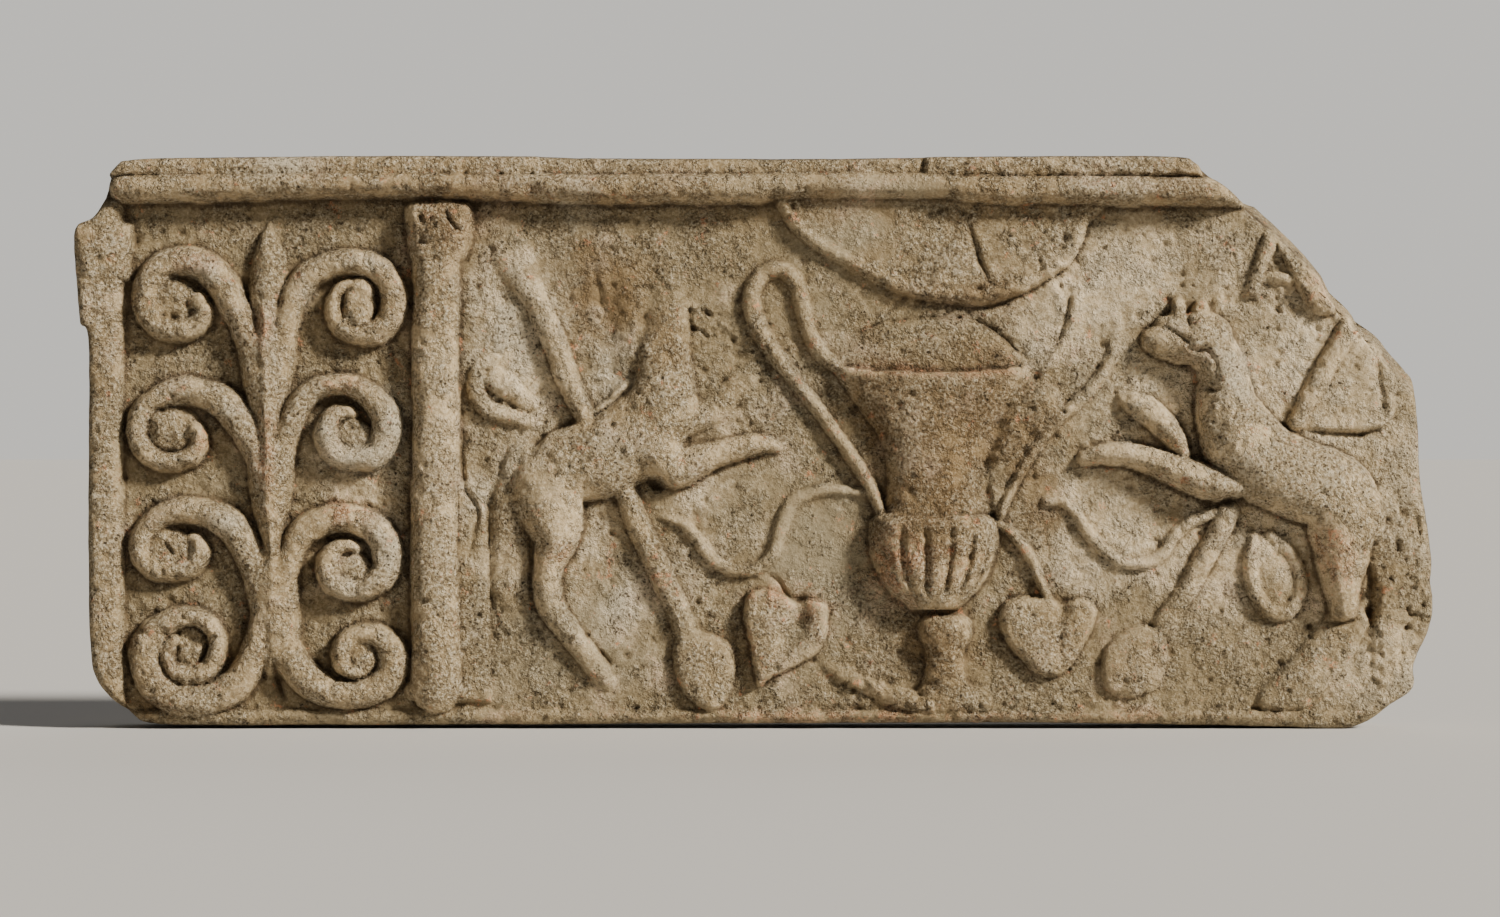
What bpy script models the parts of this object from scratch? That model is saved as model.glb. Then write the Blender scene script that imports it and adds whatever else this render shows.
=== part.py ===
# A campana relief plaque: one slab of fired clay with a modelled face.
# Metres, +Z up. The origin is the middle of the flat back, and the relief faces -Y.

import math

import bpy
import numpy as np

# Driving dimensions of the slab and its frame, in metres.
PLAQUE_WIDTH = 0.5208
PLAQUE_HEIGHT = 0.219
SLAB_THICKNESS = 0.034
EDGE_ROUNDING = 0.0042
FILLET_HEIGHT = 0.0062
FILLET_RISE = 0.0085
TORUS_HEIGHT = 0.0122
TORUS_RISE = 0.0122
LEDGE_HEIGHT = 0.0070
LEDGE_RISE = 0.0022
PILASTER_WIDTH = 0.0190
PILASTER_RISE = 0.0060
PILASTER_HEAD_HEIGHT = 0.0320
PILASTER_HEAD_OVERHANG = 0.0035
SCROLL_PANEL_WIDTH = 0.1100
COLUMN_WIDTH = 0.0190
COLUMN_RISE = 0.0100
CAPITAL_HEIGHT = 0.0190
CAPITAL_OVERHANG = 0.0030
COLUMN_FOOT_HEIGHT = 0.0075
STRIP_WIDTH = 0.0115
STRIP_HEIGHT = 0.0875
STRIP_RISE = 0.0028
FIGURE_RISE = 0.0150
FRACTURE_SLOPE = 0.0070
SURFACE_SWELL = 0.0006
SWELL_LENGTH = 0.0350
SURFACE_WEAR = 0.0004
WEAR_LENGTH = 0.0090
WALL_TAPER = 0.0012
WALL_ROUGHNESS = 0.0007

# How finely the face is sampled, and how many triangles are kept.
GRID_STEP = 0.0014
WALL_RINGS = 7
MOST_TRIANGLES = 9400

# The figures and the broken outline are drawn in millimetres from the middle of a plaque of this size.
DRAWN_WIDTH = 520.8
DRAWN_HEIGHT = 219.0
DRAWN_FIELD = (-102.0, 91.0)
DRAWN_RISE = 15.0
DRAWN_STEM = -186.0
DRAWN_COLUMN = -121.9
DRAWN_VASE = 68.0

# Along the cornice, in the same millimetres: where the fillet is broken down, where it ends, and the
# round moulding as (x, drop, share of its width, share of its rise), lower where it was mended.
BROKEN_FILLET = (-80.0, 64.0)
BROKEN_FILLET_SHARE = 0.62
CORNICE_START = 10.0
CORNICE_END = 172.0
TORUS_WEAR = (
    (-243, 0.4, 0.6, 0.55), (-236, 0, 1, 0.9), (-180, 1.2, 0.92, 1), (-110, 1.4, 0.9, 1), (-60, 0, 1, 0.98),
    (-2, 0.2, 1, 0.94), (8, 1, 0.9, 0.84), (40, 1.3, 0.9, 0.82), (74, 1.1, 0.92, 0.86), (84, -0.3, 1.02, 1),
    (120, -0.4, 1.04, 1), (158, -1, 1.02, 0.98), (178, -1.6, 0.9, 0.84), (187, -4, 0.6, 0.5),
)
PAST_THE_RIM = 6.0

# The vessel stands at this share of the width between the column and the right edge.
VASE_SHARE = 0.485

# The frame's own lines, worked out from the driving dimensions.
LEFT = -PLAQUE_WIDTH / 2
TOP = PLAQUE_HEIGHT / 2
TORUS_TOP = TOP - FILLET_HEIGHT
TORUS_BOTTOM = TORUS_TOP - TORUS_HEIGHT
FIELD_BOTTOM = -TOP + LEDGE_HEIGHT
PILASTER_RIGHT = LEFT + PILASTER_WIDTH
COLUMN_LEFT = PILASTER_RIGHT + SCROLL_PANEL_WIDTH
COLUMN_RIGHT = COLUMN_LEFT + COLUMN_WIDTH
STEM_AXIS = (PILASTER_RIGHT + COLUMN_LEFT) / 2
COLUMN_AXIS = (COLUMN_LEFT + COLUMN_RIGHT) / 2
VASE_AXIS = COLUMN_RIGHT + VASE_SHARE * (PLAQUE_WIDTH / 2 - COLUMN_RIGHT)

# The broken corner, as shares of the plaque's width and height from its middle.
FRACTURE_FROM = 0.335
FRACTURE_LOW = 0.06
FRACTURE_HIGH = 0.43

# The outline as it is broken and worn, each side from its lower or left end.
LEFT_SIDE = (
    (-240, -103), (-247, -97), (-252, -90), (-254, -80), (-255, -50), (-255, 0), (-255, 40), (-258, 46),
    (-259.5, 62), (-260.4, 76), (-259, 83), (-254, 85.5), (-251, 89), (-248.5, 96), (-247, 102),
    (-242, 107.5),
)
BOTTOM_SIDE = (
    (-240, -103), (-232, -107.5), (-205, -108.3), (-120, -108.2), (-40, -107.8), (40, -107.6),
    (100, -107.4), (150, -107.9), (185, -108.6), (215, -109.5), (227, -109.4), (235, -106.7),
    (240.5, -103),
)
RIGHT_SIDE = (
    (240.5, -103), (246, -99), (251, -96), (253, -92), (252.8, -86), (255, -80), (258, -73), (260.4, -62),
    (259.3, -54), (260, -45), (258, -30), (255.5, -14), (254.7, 4), (253, 18), (249, 24), (242.5, 31.5),
    (238, 37), (231, 41), (227, 47.5), (220.7, 52.5), (215.7, 62),
)
TOP_SIDE = (
    (-242, 107.5), (-225, 108.6), (-150, 109.5), (-82, 109.3), (-60, 108.8), (20, 108.6), (62, 109),
    (120, 109.5), (160, 109.2), (168, 107), (176, 101), (184, 94), (190, 88), (198.5, 80.4), (208, 71),
    (215.7, 62),
)

# Scroll tree: each shoot leaves a trunk, rolls over and ends beside the clay left in its own heart.
# Points of a clay roll are (x, z, half width, rise).
TRUNKS = (
    ((-185.4, 0, 4.4, 8.8), (-186, 10, 5.6, 9), (-186.8, 20, 8.4, 9.2), (-186.4, 30, 10.8, 9.2),
     (-186.2, 38, 10.6, 8.6)),
    ((-183.6, -45, 3.4, 8.6), (-184, -38, 4.4, 8.8), (-184.6, -30, 5.8, 9), (-185, -20, 8.2, 9),
     (-185.2, -10, 9, 9), (-185.2, -2, 7, 8.6)),
    ((-182.6, -80, 8.6, 7.4), (-182.8, -70, 9.2, 8.4), (-184, -60, 9.8, 8.8), (-184.8, -51, 10.4, 8.6),
     (-184.6, -44, 7, 8)),
)
STEM = (
    (-183.4, -80, 5, 7), (-183.6, -60, 4.6, 8.6), (-184, -40, 4.2, 8.8), (-185, -15, 3.8, 9.2),
    (-186.2, 10, 4, 9.4), (-186.6, 32, 3.8, 9.6), (-186.4, 50, 4.6, 9),
)
BUD_SPEAR = (
    (-186, 42, 4.6, 7.6), (-186, 52, 6.4, 7.6), (-185.8, 61, 7.4, 7.2), (-185.6, 68, 7, 6.4),
    (-185.5, 75, 4.8, 5), (-185.6, 81, 2.2, 3), (-185.6, 85, 0.8, 1),
)
LEFT_SHOOTS = (
    ((-188, 6, 3, 4), (-189.6, 17, 4.2, 5.4), (-191.8, 28, 5, 6.6), (-193.8, 39, 5.4, 7.6),
     (-198, 51, 6.2, 8.4), (-205.5, 63.5, 6.4, 8.6), (-215, 69.2, 5.9, 8.4), (-224.6, 68.4, 5.8, 8),
     (-231.4, 62, 5.8, 7.8), (-232.6, 53.5, 5.8, 7.8), (-229.6, 46, 5.2, 7.6), (-222.5, 42.6, 4.8, 7.6),
     (-214.2, 44, 4.5, 7.6), (-210.4, 49.6, 4, 7.4), (-212.2, 54.6, 3.6, 7)),
    ((-187, -30, 3, 4), (-188, -18, 4.6, 5.8), (-189.5, -7, 5, 7.2), (-193, 3, 6.4, 8.2),
     (-199.4, 12, 6.8, 8.6), (-208.6, 18.4, 6.2, 8.5), (-218.6, 19.8, 5.6, 8.2), (-228, 17.4, 5, 8),
     (-234.4, 11, 4.6, 7.8), (-235.4, 2.4, 4.5, 7.8), (-232, -4.2, 4.3, 7.8), (-224.6, -7.4, 4.1, 7.6),
     (-216.6, -5.8, 4.3, 7.6), (-212.2, -0.4, 4, 7.6), (-213.4, 5, 3.4, 7)),
    ((-187, -72, 3, 4), (-188, -62, 5, 5.8), (-190, -51, 5.6, 7.2), (-193.8, -40.5, 6.2, 8.2),
     (-200.2, -31.4, 6.5, 8.6), (-209.8, -26.6, 5.5, 8.4), (-220, -26.2, 5, 8.2), (-228.4, -29.2, 4.8, 8),
     (-234, -35.5, 4.7, 7.8), (-234.4, -42.4, 4.7, 7.8), (-230.2, -47.4, 4.5, 7.6), (-223, -49, 4.4, 7.6),
     (-215.4, -47.4, 4.4, 7.6), (-211.6, -42, 4, 7.4), (-213.6, -37, 3.3, 7)),
    ((-187, -58, 4, 6.5), (-188.6, -70, 5, 7.4), (-191.5, -82, 6, 8), (-198, -91.8, 6.4, 8),
     (-208, -97.2, 6.6, 7.8), (-219.5, -97.8, 6.6, 7.8), (-229, -92.4, 6.8, 7.8), (-233, -83, 6.6, 7.6),
     (-230.6, -73.6, 6, 7.6), (-223, -67.8, 5, 7.4), (-214.5, -66, 4, 7.2), (-207.8, -69.4, 3.9, 7.2),
     (-205.4, -77, 3.9, 7.2), (-208, -84.6, 4.2, 7), (-214.6, -89.4, 4.2, 6.8), (-221.6, -86.6, 3.8, 6.6),
     (-224.4, -80, 3.2, 6.2), (-221.6, -75, 2.4, 5.6)),
)
RIGHT_SHOOTS = (
    ((-182, 24, 3.6, 6), (-180.4, 39, 5, 7.2), (-177.6, 52, 5.6, 8), (-172, 62.6, 5.6, 8.4),
     (-163, 67.8, 5.2, 8.4), (-153, 69.2, 5.1, 8.4), (-144, 66.4, 5.3, 8.4), (-138.6, 58.5, 5.5, 8.4),
     (-138.8, 49, 5.4, 8.2), (-144, 42.6, 5, 8), (-151.6, 41, 4.4, 7.8), (-158.2, 44.6, 4.2, 7.6),
     (-161, 51.5, 3.8, 7.4), (-159, 58, 3, 6.8), (-154.6, 61.2, 2.2, 6)),
    ((-183, -24, 3.6, 6), (-181.5, -10, 4.6, 7), (-179, 3, 5.2, 7.8), (-175.2, 12.8, 5.2, 8.4),
     (-168, 20.2, 4.7, 8.6), (-158, 22.4, 4.3, 8.4), (-148.6, 19.2, 4.9, 8.4), (-142, 12, 5.8, 8.6),
     (-140.9, 3, 5.8, 8.4), (-145.2, -4, 5.4, 8.4), (-153.6, -6, 5, 8.4), (-161.2, -2.6, 5.4, 8.8),
     (-163.4, 4, 5.4, 8.8), (-161.2, 10, 4, 8.4), (-156.4, 12.4, 2.8, 7.6), (-153.4, 11.4, 1.8, 6.4)),
    ((-181.8, -74, 3.6, 6), (-180.8, -60, 4.8, 7), (-178.6, -47, 5.2, 7.8), (-174.6, -36.2, 5.6, 8.4),
     (-166.5, -30.2, 5.9, 8.6), (-156, -29, 5.6, 8.6), (-146.6, -32, 5.8, 8.6), (-140.8, -39.5, 6, 8.6),
     (-140.6, -48, 5.8, 8.4), (-146, -54.4, 5, 8.4), (-154, -56.4, 4.5, 8.4), (-161.2, -53, 5.1, 8.6),
     (-163, -46.5, 5.1, 8.6), (-160.4, -41, 3.8, 8.2), (-155.4, -39, 2.7, 7.6), (-151.6, -39.8, 2, 6.6)),
    ((-183, -60, 4, 6), (-181, -72, 5.4, 7.2), (-176.5, -83.5, 6.4, 8), (-168, -92.4, 6.6, 8),
     (-157.5, -96.2, 6, 8), (-146.5, -94.4, 6, 7.8), (-139, -88, 6.2, 7.8), (-138.6, -79.5, 5.8, 7.8),
     (-143.6, -73.8, 4.5, 7.8), (-151.5, -73.2, 4.2, 7.8), (-157.2, -77.6, 4.7, 7.8),
     (-157.4, -83.6, 4.4, 7.4), (-153.2, -87, 3, 7), (-149.4, -87, 2.2, 6.2)),
)
# Clay left standing inside each scroll.
SCROLL_HEARTS = (
    ((-222.6, 54.6, 8.8, 5.2), (-218.4, 52.6, 8, 5)),
    ((-224.5, 6, 9.6, 4.8), (-220.4, 5, 9, 4.8)),
    ((-224.8, 6.2, 6.6, 6), (-224.2, 6, 6.6, 6)),
    ((-224, -40.6, 8.8, 5.4), (-219.6, -41.6, 8, 5.2)),
    ((-215.5, -75, 5.5, 3.2), (-216.5, -82, 5.5, 4)),
    ((-151.2, 58, 5.6, 7.6), (-151.6, 49, 6.6, 7.6)),
    ((-154.5, 5, 6, 4.4), (-151, 2, 6.4, 4.6)),
    ((-154, -47, 6.4, 4.4), (-151.6, -49, 6, 4.6)),
    ((-149.6, -79.6, 5.6, 5.2), (-149, -83, 5.4, 5.8)),
)
# Slits pressed into the scrolls: (x, z, half width, depth).
SCROLL_SLITS = (
    ((-183, -82.5, 0.6, 1.5), (-182.6, -87.5, 1.1, 3.6), (-181.6, -93, 1.5, 4), (-180, -97, 1.2, 2)),
    ((-216.8, 57.4, 0.7, 0.8), (-217, 53.6, 0.9, 1.6), (-215.6, 50, 0.8, 1)),
    ((-224.8, 57.2, 0.6, 0.5), (-225.8, 54, 0.8, 1), (-225.2, 51, 0.6, 0.5)),
    ((-217.6, 9.6, 0.8, 0.9), (-217.2, 6, 0.9, 1.4), (-218.2, 2, 0.8, 0.8)),
    ((-225, -38.4, 0.7, 1), (-223.4, -40.8, 0.9, 2), (-222, -42.6, 0.7, 1)),
    ((-222.8, -80.6, 0.7, 1), (-221.4, -83.2, 0.9, 1.8), (-220, -85.6, 0.7, 1)),
    ((-231.4, 62.6, 0.5, 0.8), (-225, 63.8, 0.6, 1.4), (-218, 65.2, 0.7, 1.2)),
    ((-148.8, 73, 0.6, 0.8), (-147.4, 69, 0.8, 1.4), (-145.6, 65, 0.7, 1)),
    ((-150.6, -38.4, 1.4, 1.4), (-149, -41, 1.6, 1.8), (-147.6, -43.6, 1.2, 0.8)),
)

# Left beast, rearing towards the vessel.
LEFT_BEAST_FAR_LEG = (
    (-88, -8, 8, 3.4), (-92.5, -20, 7.4, 4.2), (-94, -32, 7.2, 4), (-94.5, -44, 7.2, 3.4),
    (-94, -56, 7, 2.4), (-92, -66, 6, 1),
)
LEFT_BEAST_BODY = (
    ((-79, -16, 13, 9), (-70, -9, 15, 10), (-57, -5, 15.5, 10.5), (-44, 3, 15.5, 11), (-35, 14, 14, 10.6)),
    ((-35, 14, 14, 10.6), (-34.5, 26, 11.4, 8.4), (-34.8, 37, 9.8, 6), (-33.6, 47, 8.4, 3.8),
     (-33, 56, 7.4, 2), (-33, 64, 6, 0.6)),
    ((-31, 47, 7, 5), (-26, 50, 5, 3.4)),
    ((-80, -17, 14, 10), (-77.4, -27, 12.4, 11), (-76, -36, 8.8, 10.4), (-79, -46, 6.2, 9),
     (-79, -56, 5.7, 8), (-77.2, -63.5, 5.6, 7.2), (-71.2, -72, 5.1, 6.6), (-65.4, -79.5, 4.7, 5.6),
     (-60.4, -86, 4.3, 4), (-56.4, -91, 3.6, 1.8)),
    ((-37, -4, 10, 11), (-31, -9.5, 8, 10.5), (-21, -6.5, 6, 9.2), (-9, -2.6, 5, 7.8),
     (1.5, -0.2, 4.2, 6.4), (8.4, -1.4, 2.2, 3.6)),
)
LEFT_BEAST_NEAR_PAW = ((-26, 8, 6, 5.4), (-16, 13, 5.4, 4.4), (-8, 21, 5.4, 3.6), (-2, 27, 4.4, 2.4))
LEFT_BEAST_BACK_RIDGE = ((-63, 10.5, 1, 2), (-58, 14, 1.6, 3.2), (-53, 19, 1.6, 3.2), (-48, 24, 1.4, 2))

LEFT_STAFF = (
    ((-94, 80, 8, 1), (-91, 69, 8, 2), (-87.4, 60.5, 6.2, 3.4), (-81.8, 50.6, 4.8, 4.2),
     (-75, 33.4, 5, 4.8), (-68, 16.2, 4.2, 4.8), (-62.5, 4, 4, 4.8)),
    ((-50, -18, 4.6, 5), (-43.5, -34, 4.9, 5), (-36, -50, 4.9, 5), (-29.5, -65, 5, 4.8),
     (-24.5, -76, 5.6, 4.4)),
)
LEFT_PADDLE = (
    (-30.5, -76), (-31.8, -84), (-29.5, -92), (-24, -99), (-16, -103), (-10.5, -98), (-8, -88), (-9, -79),
    (-14, -74), (-22, -72),
)
LEFT_CURL = (
    (-99, 31.5, 2.2, 1.4), (-104.5, 29.4, 3, 2.4), (-106.6, 23, 3.3, 3), (-104.6, 15.4, 3.6, 3.2),
    (-98.6, 11.4, 3.4, 3), (-91, 9.6, 2.8, 2.2), (-83, 6.8, 2, 1.2),
)
LEFT_CURL_PETAL = ((-99.5, 25, 4.8, 2.6), (-93, 20, 4.2, 2.2), (-86, 15, 2.6, 1.2))
LEFT_TENDRIL = (
    (-36, -28, 1.6, 2), (-28.5, -30.5, 2.2, 2.6), (-22, -37, 2.8, 3.2), (-15.5, -45, 2.8, 3.2),
    (-8, -48.5, 2.6, 3), (0.5, -47.5, 2.6, 3), (7, -41.5, 2.8, 3), (10.5, -31, 3.2, 3),
    (14.5, -22.5, 2.8, 2.8), (22, -18.8, 2.4, 2.6), (30, -17.6, 2.2, 2.2), (41, -19, 1.8, 1.8),
)
LEFT_LEAF = (
    (-4.5, -66), (-3, -58.5), (3, -55.5), (10, -57.5), (16, -61), (21, -59.5), (27, -61), (28, -68),
    (24.5, -79), (17, -84.5), (8, -88.5), (1.5, -92.8), (0, -88), (-2.5, -76),
)
LEFT_LEAF_HOLLOW = ((17, -60, 2.6, 1.4), (16.5, -68, 4.4, 2.4), (13.5, -77, 3.4, 2))

# The vessel: (z, half width, rise) down its left and right sides alike.
VASE_NECK = (
    (30, 38.4, 10), (28, 38.6, 11.4), (25, 37, 11), (18, 31.2, 10), (12, 26.3, 9.4), (5, 21.5, 9),
    (-3, 18.6, 9), (-12, 17.8, 9.4), (-22, 18.2, 10.2), (-30, 20, 11),
)
VASE_BODY = (
    (-27.2, 21.6, 10), (-29, 24.2, 13), (-33, 25.2, 14.6), (-40, 24.8, 15), (-47, 23, 14.6),
    (-53, 19.8, 13.4), (-58, 15.4, 11.6), (-61.5, 11.5, 9.6), (-63.5, 9.5, 7),
)
VASE_FOOT = (
    (-65.5, 7, 4.6), (-68, 10, 7.6), (-72, 10.6, 8.8), (-76, 9.2, 8), (-79, 7.8, 7), (-85, 7.8, 6.6),
    (-90.5, 8.6, 5.8), (-95, 12, 4.4), (-99, 17, 3), (-102, 20, 2),
)
VASE_FOOT_SHIFT = 4.4
NECK_BOW = 3.4
# Gadroons: how many to a full turn, where they start, how deep their valleys are, how narrow the
# valleys are, and where they fade at the shoulder, at the foot and at the smooth left side.
GADROONS = 16.7
GADROON_PHASE = 0.63
GADROON_DEPTH = 2.2
GADROON_SHARPNESS = 3.5
GADROON_TOP = -31.0
GADROON_TOP_FADE = 4.0
GADROON_FOOT = -60.0
GADROON_FOOT_FADE = 6.0
GADROON_FIRST_ANGLE = -0.72
GADROON_SIDE_FADE = 0.25
VASE_MOUTH = (
    (31, 31), (37.5, 39), (47, 44), (58, 46.6), (71, 47.4), (83, 46.4), (91.5, 42), (98.5, 36),
    (105.5, 30.5), (90, 27), (68, 26), (46, 27),
)
LEFT_HANDLE = (
    (31, 29.5, 3, 4.4), (25, 34, 3.3, 4.2), (20.6, 42, 3.4, 4), (18.6, 50, 3.4, 3.8),
    (16.4, 59.5, 3.4, 3.6), (11.5, 65.6, 3.3, 3.6), (5, 65.8, 3.4, 3.8), (0, 61, 3.6, 4.2),
    (-1.2, 53, 3.8, 4.6), (1.6, 43.5, 3.8, 4.6), (8, 33, 3.6, 4.4), (16, 22.5, 3.3, 4.2),
    (24.5, 11.5, 3, 4), (32.2, 1.5, 2.8, 4), (38.8, -8, 2.6, 4), (44.4, -18, 2.5, 4.4),
    (48.5, -27.5, 2.4, 5),
)
RIGHT_HANDLE = (
    ((108, 28, 2.4, 2.6), (114, 34, 2.4, 2), (119.6, 42, 2.4, 1.6), (122, 52, 2.2, 1.2),
     (123, 62, 2, 0.4)),
    ((138, 48, 2, 0.4), (137, 38, 2.3, 1.8), (134, 28.5, 2.4, 2.8), (125.5, 18, 2.4, 3.4),
     (116, 9, 2.4, 3.8), (108.4, 0, 2.4, 4.2), (102, -9, 2.3, 4.4), (97.4, -18, 2.2, 4.6),
     (93.4, -27, 2.2, 4.8)),
)
VASE_SHOULDER = (
    (100, 22), (112, 22), (118, 12), (111, 2), (104, -6), (99, -16), (93, -27), (84, -24), (82, -6),
    (86, 8), (92, 18),
)
# Rough clay about the figures: (x, z, reach across, reach up, rise), and a ridge beside the foot.
GROUND_LUMPS = (
    (-46.5, 44, 6, 20, 2.2), (-60, 66, 13, 14, 1.4), (-48, 62, 8, 10, 0.8), (-97, -24, 7, 22, 1),
    (197, 60, 10, 14, 0.8), (-16, 20, 12, 12, 0.9), (106, 14, 12, 22, 0.8), (226, 26, 10, 14, 0.6),
    (54, -96, 7, 4, 1.4), (38, -98, 7, 2.4, 1), (101, -97, 5, 2.4, 0.8),
)
GROUND_RIDGE = (
    (27, -84.5, 2, 0.8), (33, -88, 2.8, 2.2), (41, -92, 3.2, 2.8), (52, -96, 4, 3.4), (64, -98.6, 4.4, 4),
    (78, -98.6, 4.6, 3.8), (90, -97.6, 4, 2.6), (99, -97.6, 3, 1),
)

# The bowl that hangs from the cornice over the vessel.
BOWL = (
    (6.5, 99), (7.5, 92), (11.5, 85), (17, 78.5), (24.6, 71.8), (34.2, 66), (45, 61), (56, 56.4),
    (66, 53.8), (78, 52.6), (87, 52.6), (98, 55.6), (108, 60.3), (116.5, 65.5), (122.5, 72), (126, 81),
    (127, 99),
)
BOWL_LIP = (
    (11, 92, 2.4, 4.6), (15.5, 83.5, 3, 4.8), (24.5, 75.6, 3, 4.8), (34.6, 70, 3, 4.7),
    (45.8, 65, 3, 4.5), (56, 60, 3.2, 4.6), (66, 57.4, 3.4, 4.7), (78, 56.3, 3.4, 4.6),
    (88, 56.6, 3.2, 4.2), (98, 59.6, 3, 3.6), (107.6, 64.4, 2.8, 3.2), (115, 69.6, 2.6, 3),
    (120.5, 77, 2.4, 2.8), (124.5, 92, 2.4, 2.4),
)
BOWL_RIDGE = ((80.5, 90), (75, 80), (69, 70), (66, 60), (76, 57.5), (89, 59), (86.5, 68), (83.5, 78))

RIGHT_STALK = (
    (92.5, -30, 1.8, 2.6), (98.5, -34.5, 2, 2.8), (104, -41.5, 2.1, 2.8), (108.4, -50, 2.1, 2.8),
    (112, -60, 2.2, 3.4),
)
RIGHT_LEAF = (
    (95, -61.5), (92.8, -67), (95, -74.5), (100, -81), (106, -87), (111, -89.2), (117, -88), (122, -83),
    (127, -75), (130.2, -67), (129.5, -61), (124, -58.8), (117.5, -61), (113, -59), (106, -58.5),
    (100, -59),
)
RIGHT_LEAF_HOLLOW = (
    (117.5, -60, 1.8, 1.4), (117.5, -66, 2.6, 2.2), (116.5, -73, 1.6, 1), (116, -80, 1.2, 0.4),
)
RIGHT_TENDRIL = (
    (111, -22.5, 1.6, 1.6), (117.5, -22.5, 2, 2.4), (123, -27.5, 2.2, 2.6), (128.5, -36, 2.4, 2.8),
    (135.5, -43, 2.4, 3), (145.5, -46, 2.4, 3), (154, -43, 2.4, 3), (160, -36, 2.4, 2.8),
    (166.5, -30.5, 2.4, 2.8), (175, -26.5, 2.2, 2.6),
)

# Right beast, rearing the other way.
RIGHT_BEAST_BODY = (
    ((229, -29, 12.5, 10.6), (221, -19, 15, 12.4), (208, -14, 15.5, 13.5), (195, -8, 15.5, 13.5),
     (184.5, 2, 15, 13)),
    ((184.5, 2, 15, 13), (180, 13, 12.4, 12), (179, 24, 10, 11.5), (176, 33, 9.6, 10.5),
     (169, 40, 9.4, 10)),
    ((172, 40, 10.2, 10.4), (163.5, 39.4, 9.4, 10), (156.6, 39.2, 7.8, 9.2), (151.8, 39, 5.2, 7.6)),
    ((156, 44.6, 4, 5.6), (164, 45.6, 5, 6), (172, 43.6, 5.4, 6.6), (177, 40, 5, 6.6)),
    ((160, 46, 3.4, 6), (162.4, 50.4, 2.6, 3.2)),
    ((167.4, 46, 3.6, 7.2), (169.4, 51.6, 3.2, 3.6)),
    ((160, 50, 3, 1.8), (161, 56, 2.6, 0.8)),
    ((184, -17, 4, 9.5), (177, -16, 6.2, 11), (168.5, -13.4, 6.8, 11.5), (158.5, -9.6, 6.1, 10.5),
     (146, -5.5, 5, 9), (134, -4, 4.4, 7), (125.5, -5.4, 3.2, 4.5)),
    ((224.5, -27, 14.5, 12.4), (224, -40, 11.4, 12), (223.8, -52, 8.4, 11), (224.4, -60, 6.2, 10),
     (224.6, -63.4, 5.4, 9)),
)
RIGHT_BEAST_NEAR_PAW = (
    (163, -4, 3, 6), (158.5, 3.5, 4.8, 7.2), (152, 10.5, 5.6, 7), (146, 14.5, 5, 5.4),
    (140.5, 17, 3.2, 2.8),
)
RIGHT_BEAST_FOOT = (
    (226, -68, 8, 3.8), (221, -76, 9, 3.6), (213, -86, 9, 3.4), (205.5, -94, 8.6, 3), (199, -98, 7, 2.6),
)
RIGHT_BEAST_FAR_LEG = (
    (238, -36, 6, 4), (241, -48, 6, 2.4), (241.4, -60, 5.6, 2), (241.4, -73, 5, 1.4),
    (241, -88, 4.4, 0.6),
)
RIGHT_BEAST_TAIL = ((238, -22, 5, 2.4), (243.6, -31, 4.4, 1.6), (246.4, -42, 4, 1), (247, -52, 3.4, 0.3))

RIGHT_STAFF = (
    ((228, 45.5, 4.6, 2.6), (221.5, 35, 4.2, 3.2), (213.5, 21, 3.8, 3.6), (206, 8, 3.6, 3.8)),
    ((181, -26, 4.2, 3.4), (172.5, -42, 4.2, 3), (164, -57, 4.2, 2.8), (156, -69, 4.4, 2.4)),
)
RIGHT_PADDLE = (
    (138, -73), (133.3, -79), (131.8, -87), (134, -94), (139, -97), (146, -97), (152.5, -94),
    (156.5, -86), (157, -76), (152, -70), (145, -70),
)
OVAL_BUD = (
    (190.5, -36, 2, 2.2), (189.2, -46, 3, 3.2), (190.8, -56, 3.2, 3.6), (196, -63.5, 3.4, 3.8),
    (202.5, -65, 3.2, 3.6), (207, -59, 2.8, 3.2), (207.6, -50, 2.6, 2.8), (203.6, -42, 2.6, 2.4),
    (197, -35.5, 2, 1.8),
)
OVAL_BUD_BODY = ((192, -38, 3, 1.6), (197, -47, 6.4, 2.6), (199.4, -55, 6.6, 2.4), (200.4, -61, 5, 2))
UPPER_TENDRIL = (
    (237.5, 36, 1.6, 0.6), (240.8, 27, 2.4, 1.2), (242.4, 18, 2.6, 1.6), (240.4, 10.4, 2.6, 2.2),
    (233, 7, 2.8, 2.8), (223.5, 6.6, 3, 3), (214, 7.6, 2.8, 2.4), (207.5, 7.2, 2.2, 1.4),
)
UPPER_LEAF = (
    (224, 47), (230, 42), (236.5, 34), (239, 24), (240, 11), (226, 7), (211, 8), (206, 14), (214, 30),
)
TOP_BUD = (
    ((197, 80, 3, 1.2), (194, 70, 2.8, 1.8), (189.5, 58, 2.6, 1.4)),
    ((194, 63, 2, 0.8), (203, 62.6, 2, 0.8)),
    ((200, 79, 2.6, 1.6), (205, 71, 3.6, 3), (210, 63.5, 4.8, 4.6), (214, 57.5, 5.2, 5.2),
     (217, 53.5, 5, 4.6)),
)

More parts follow.
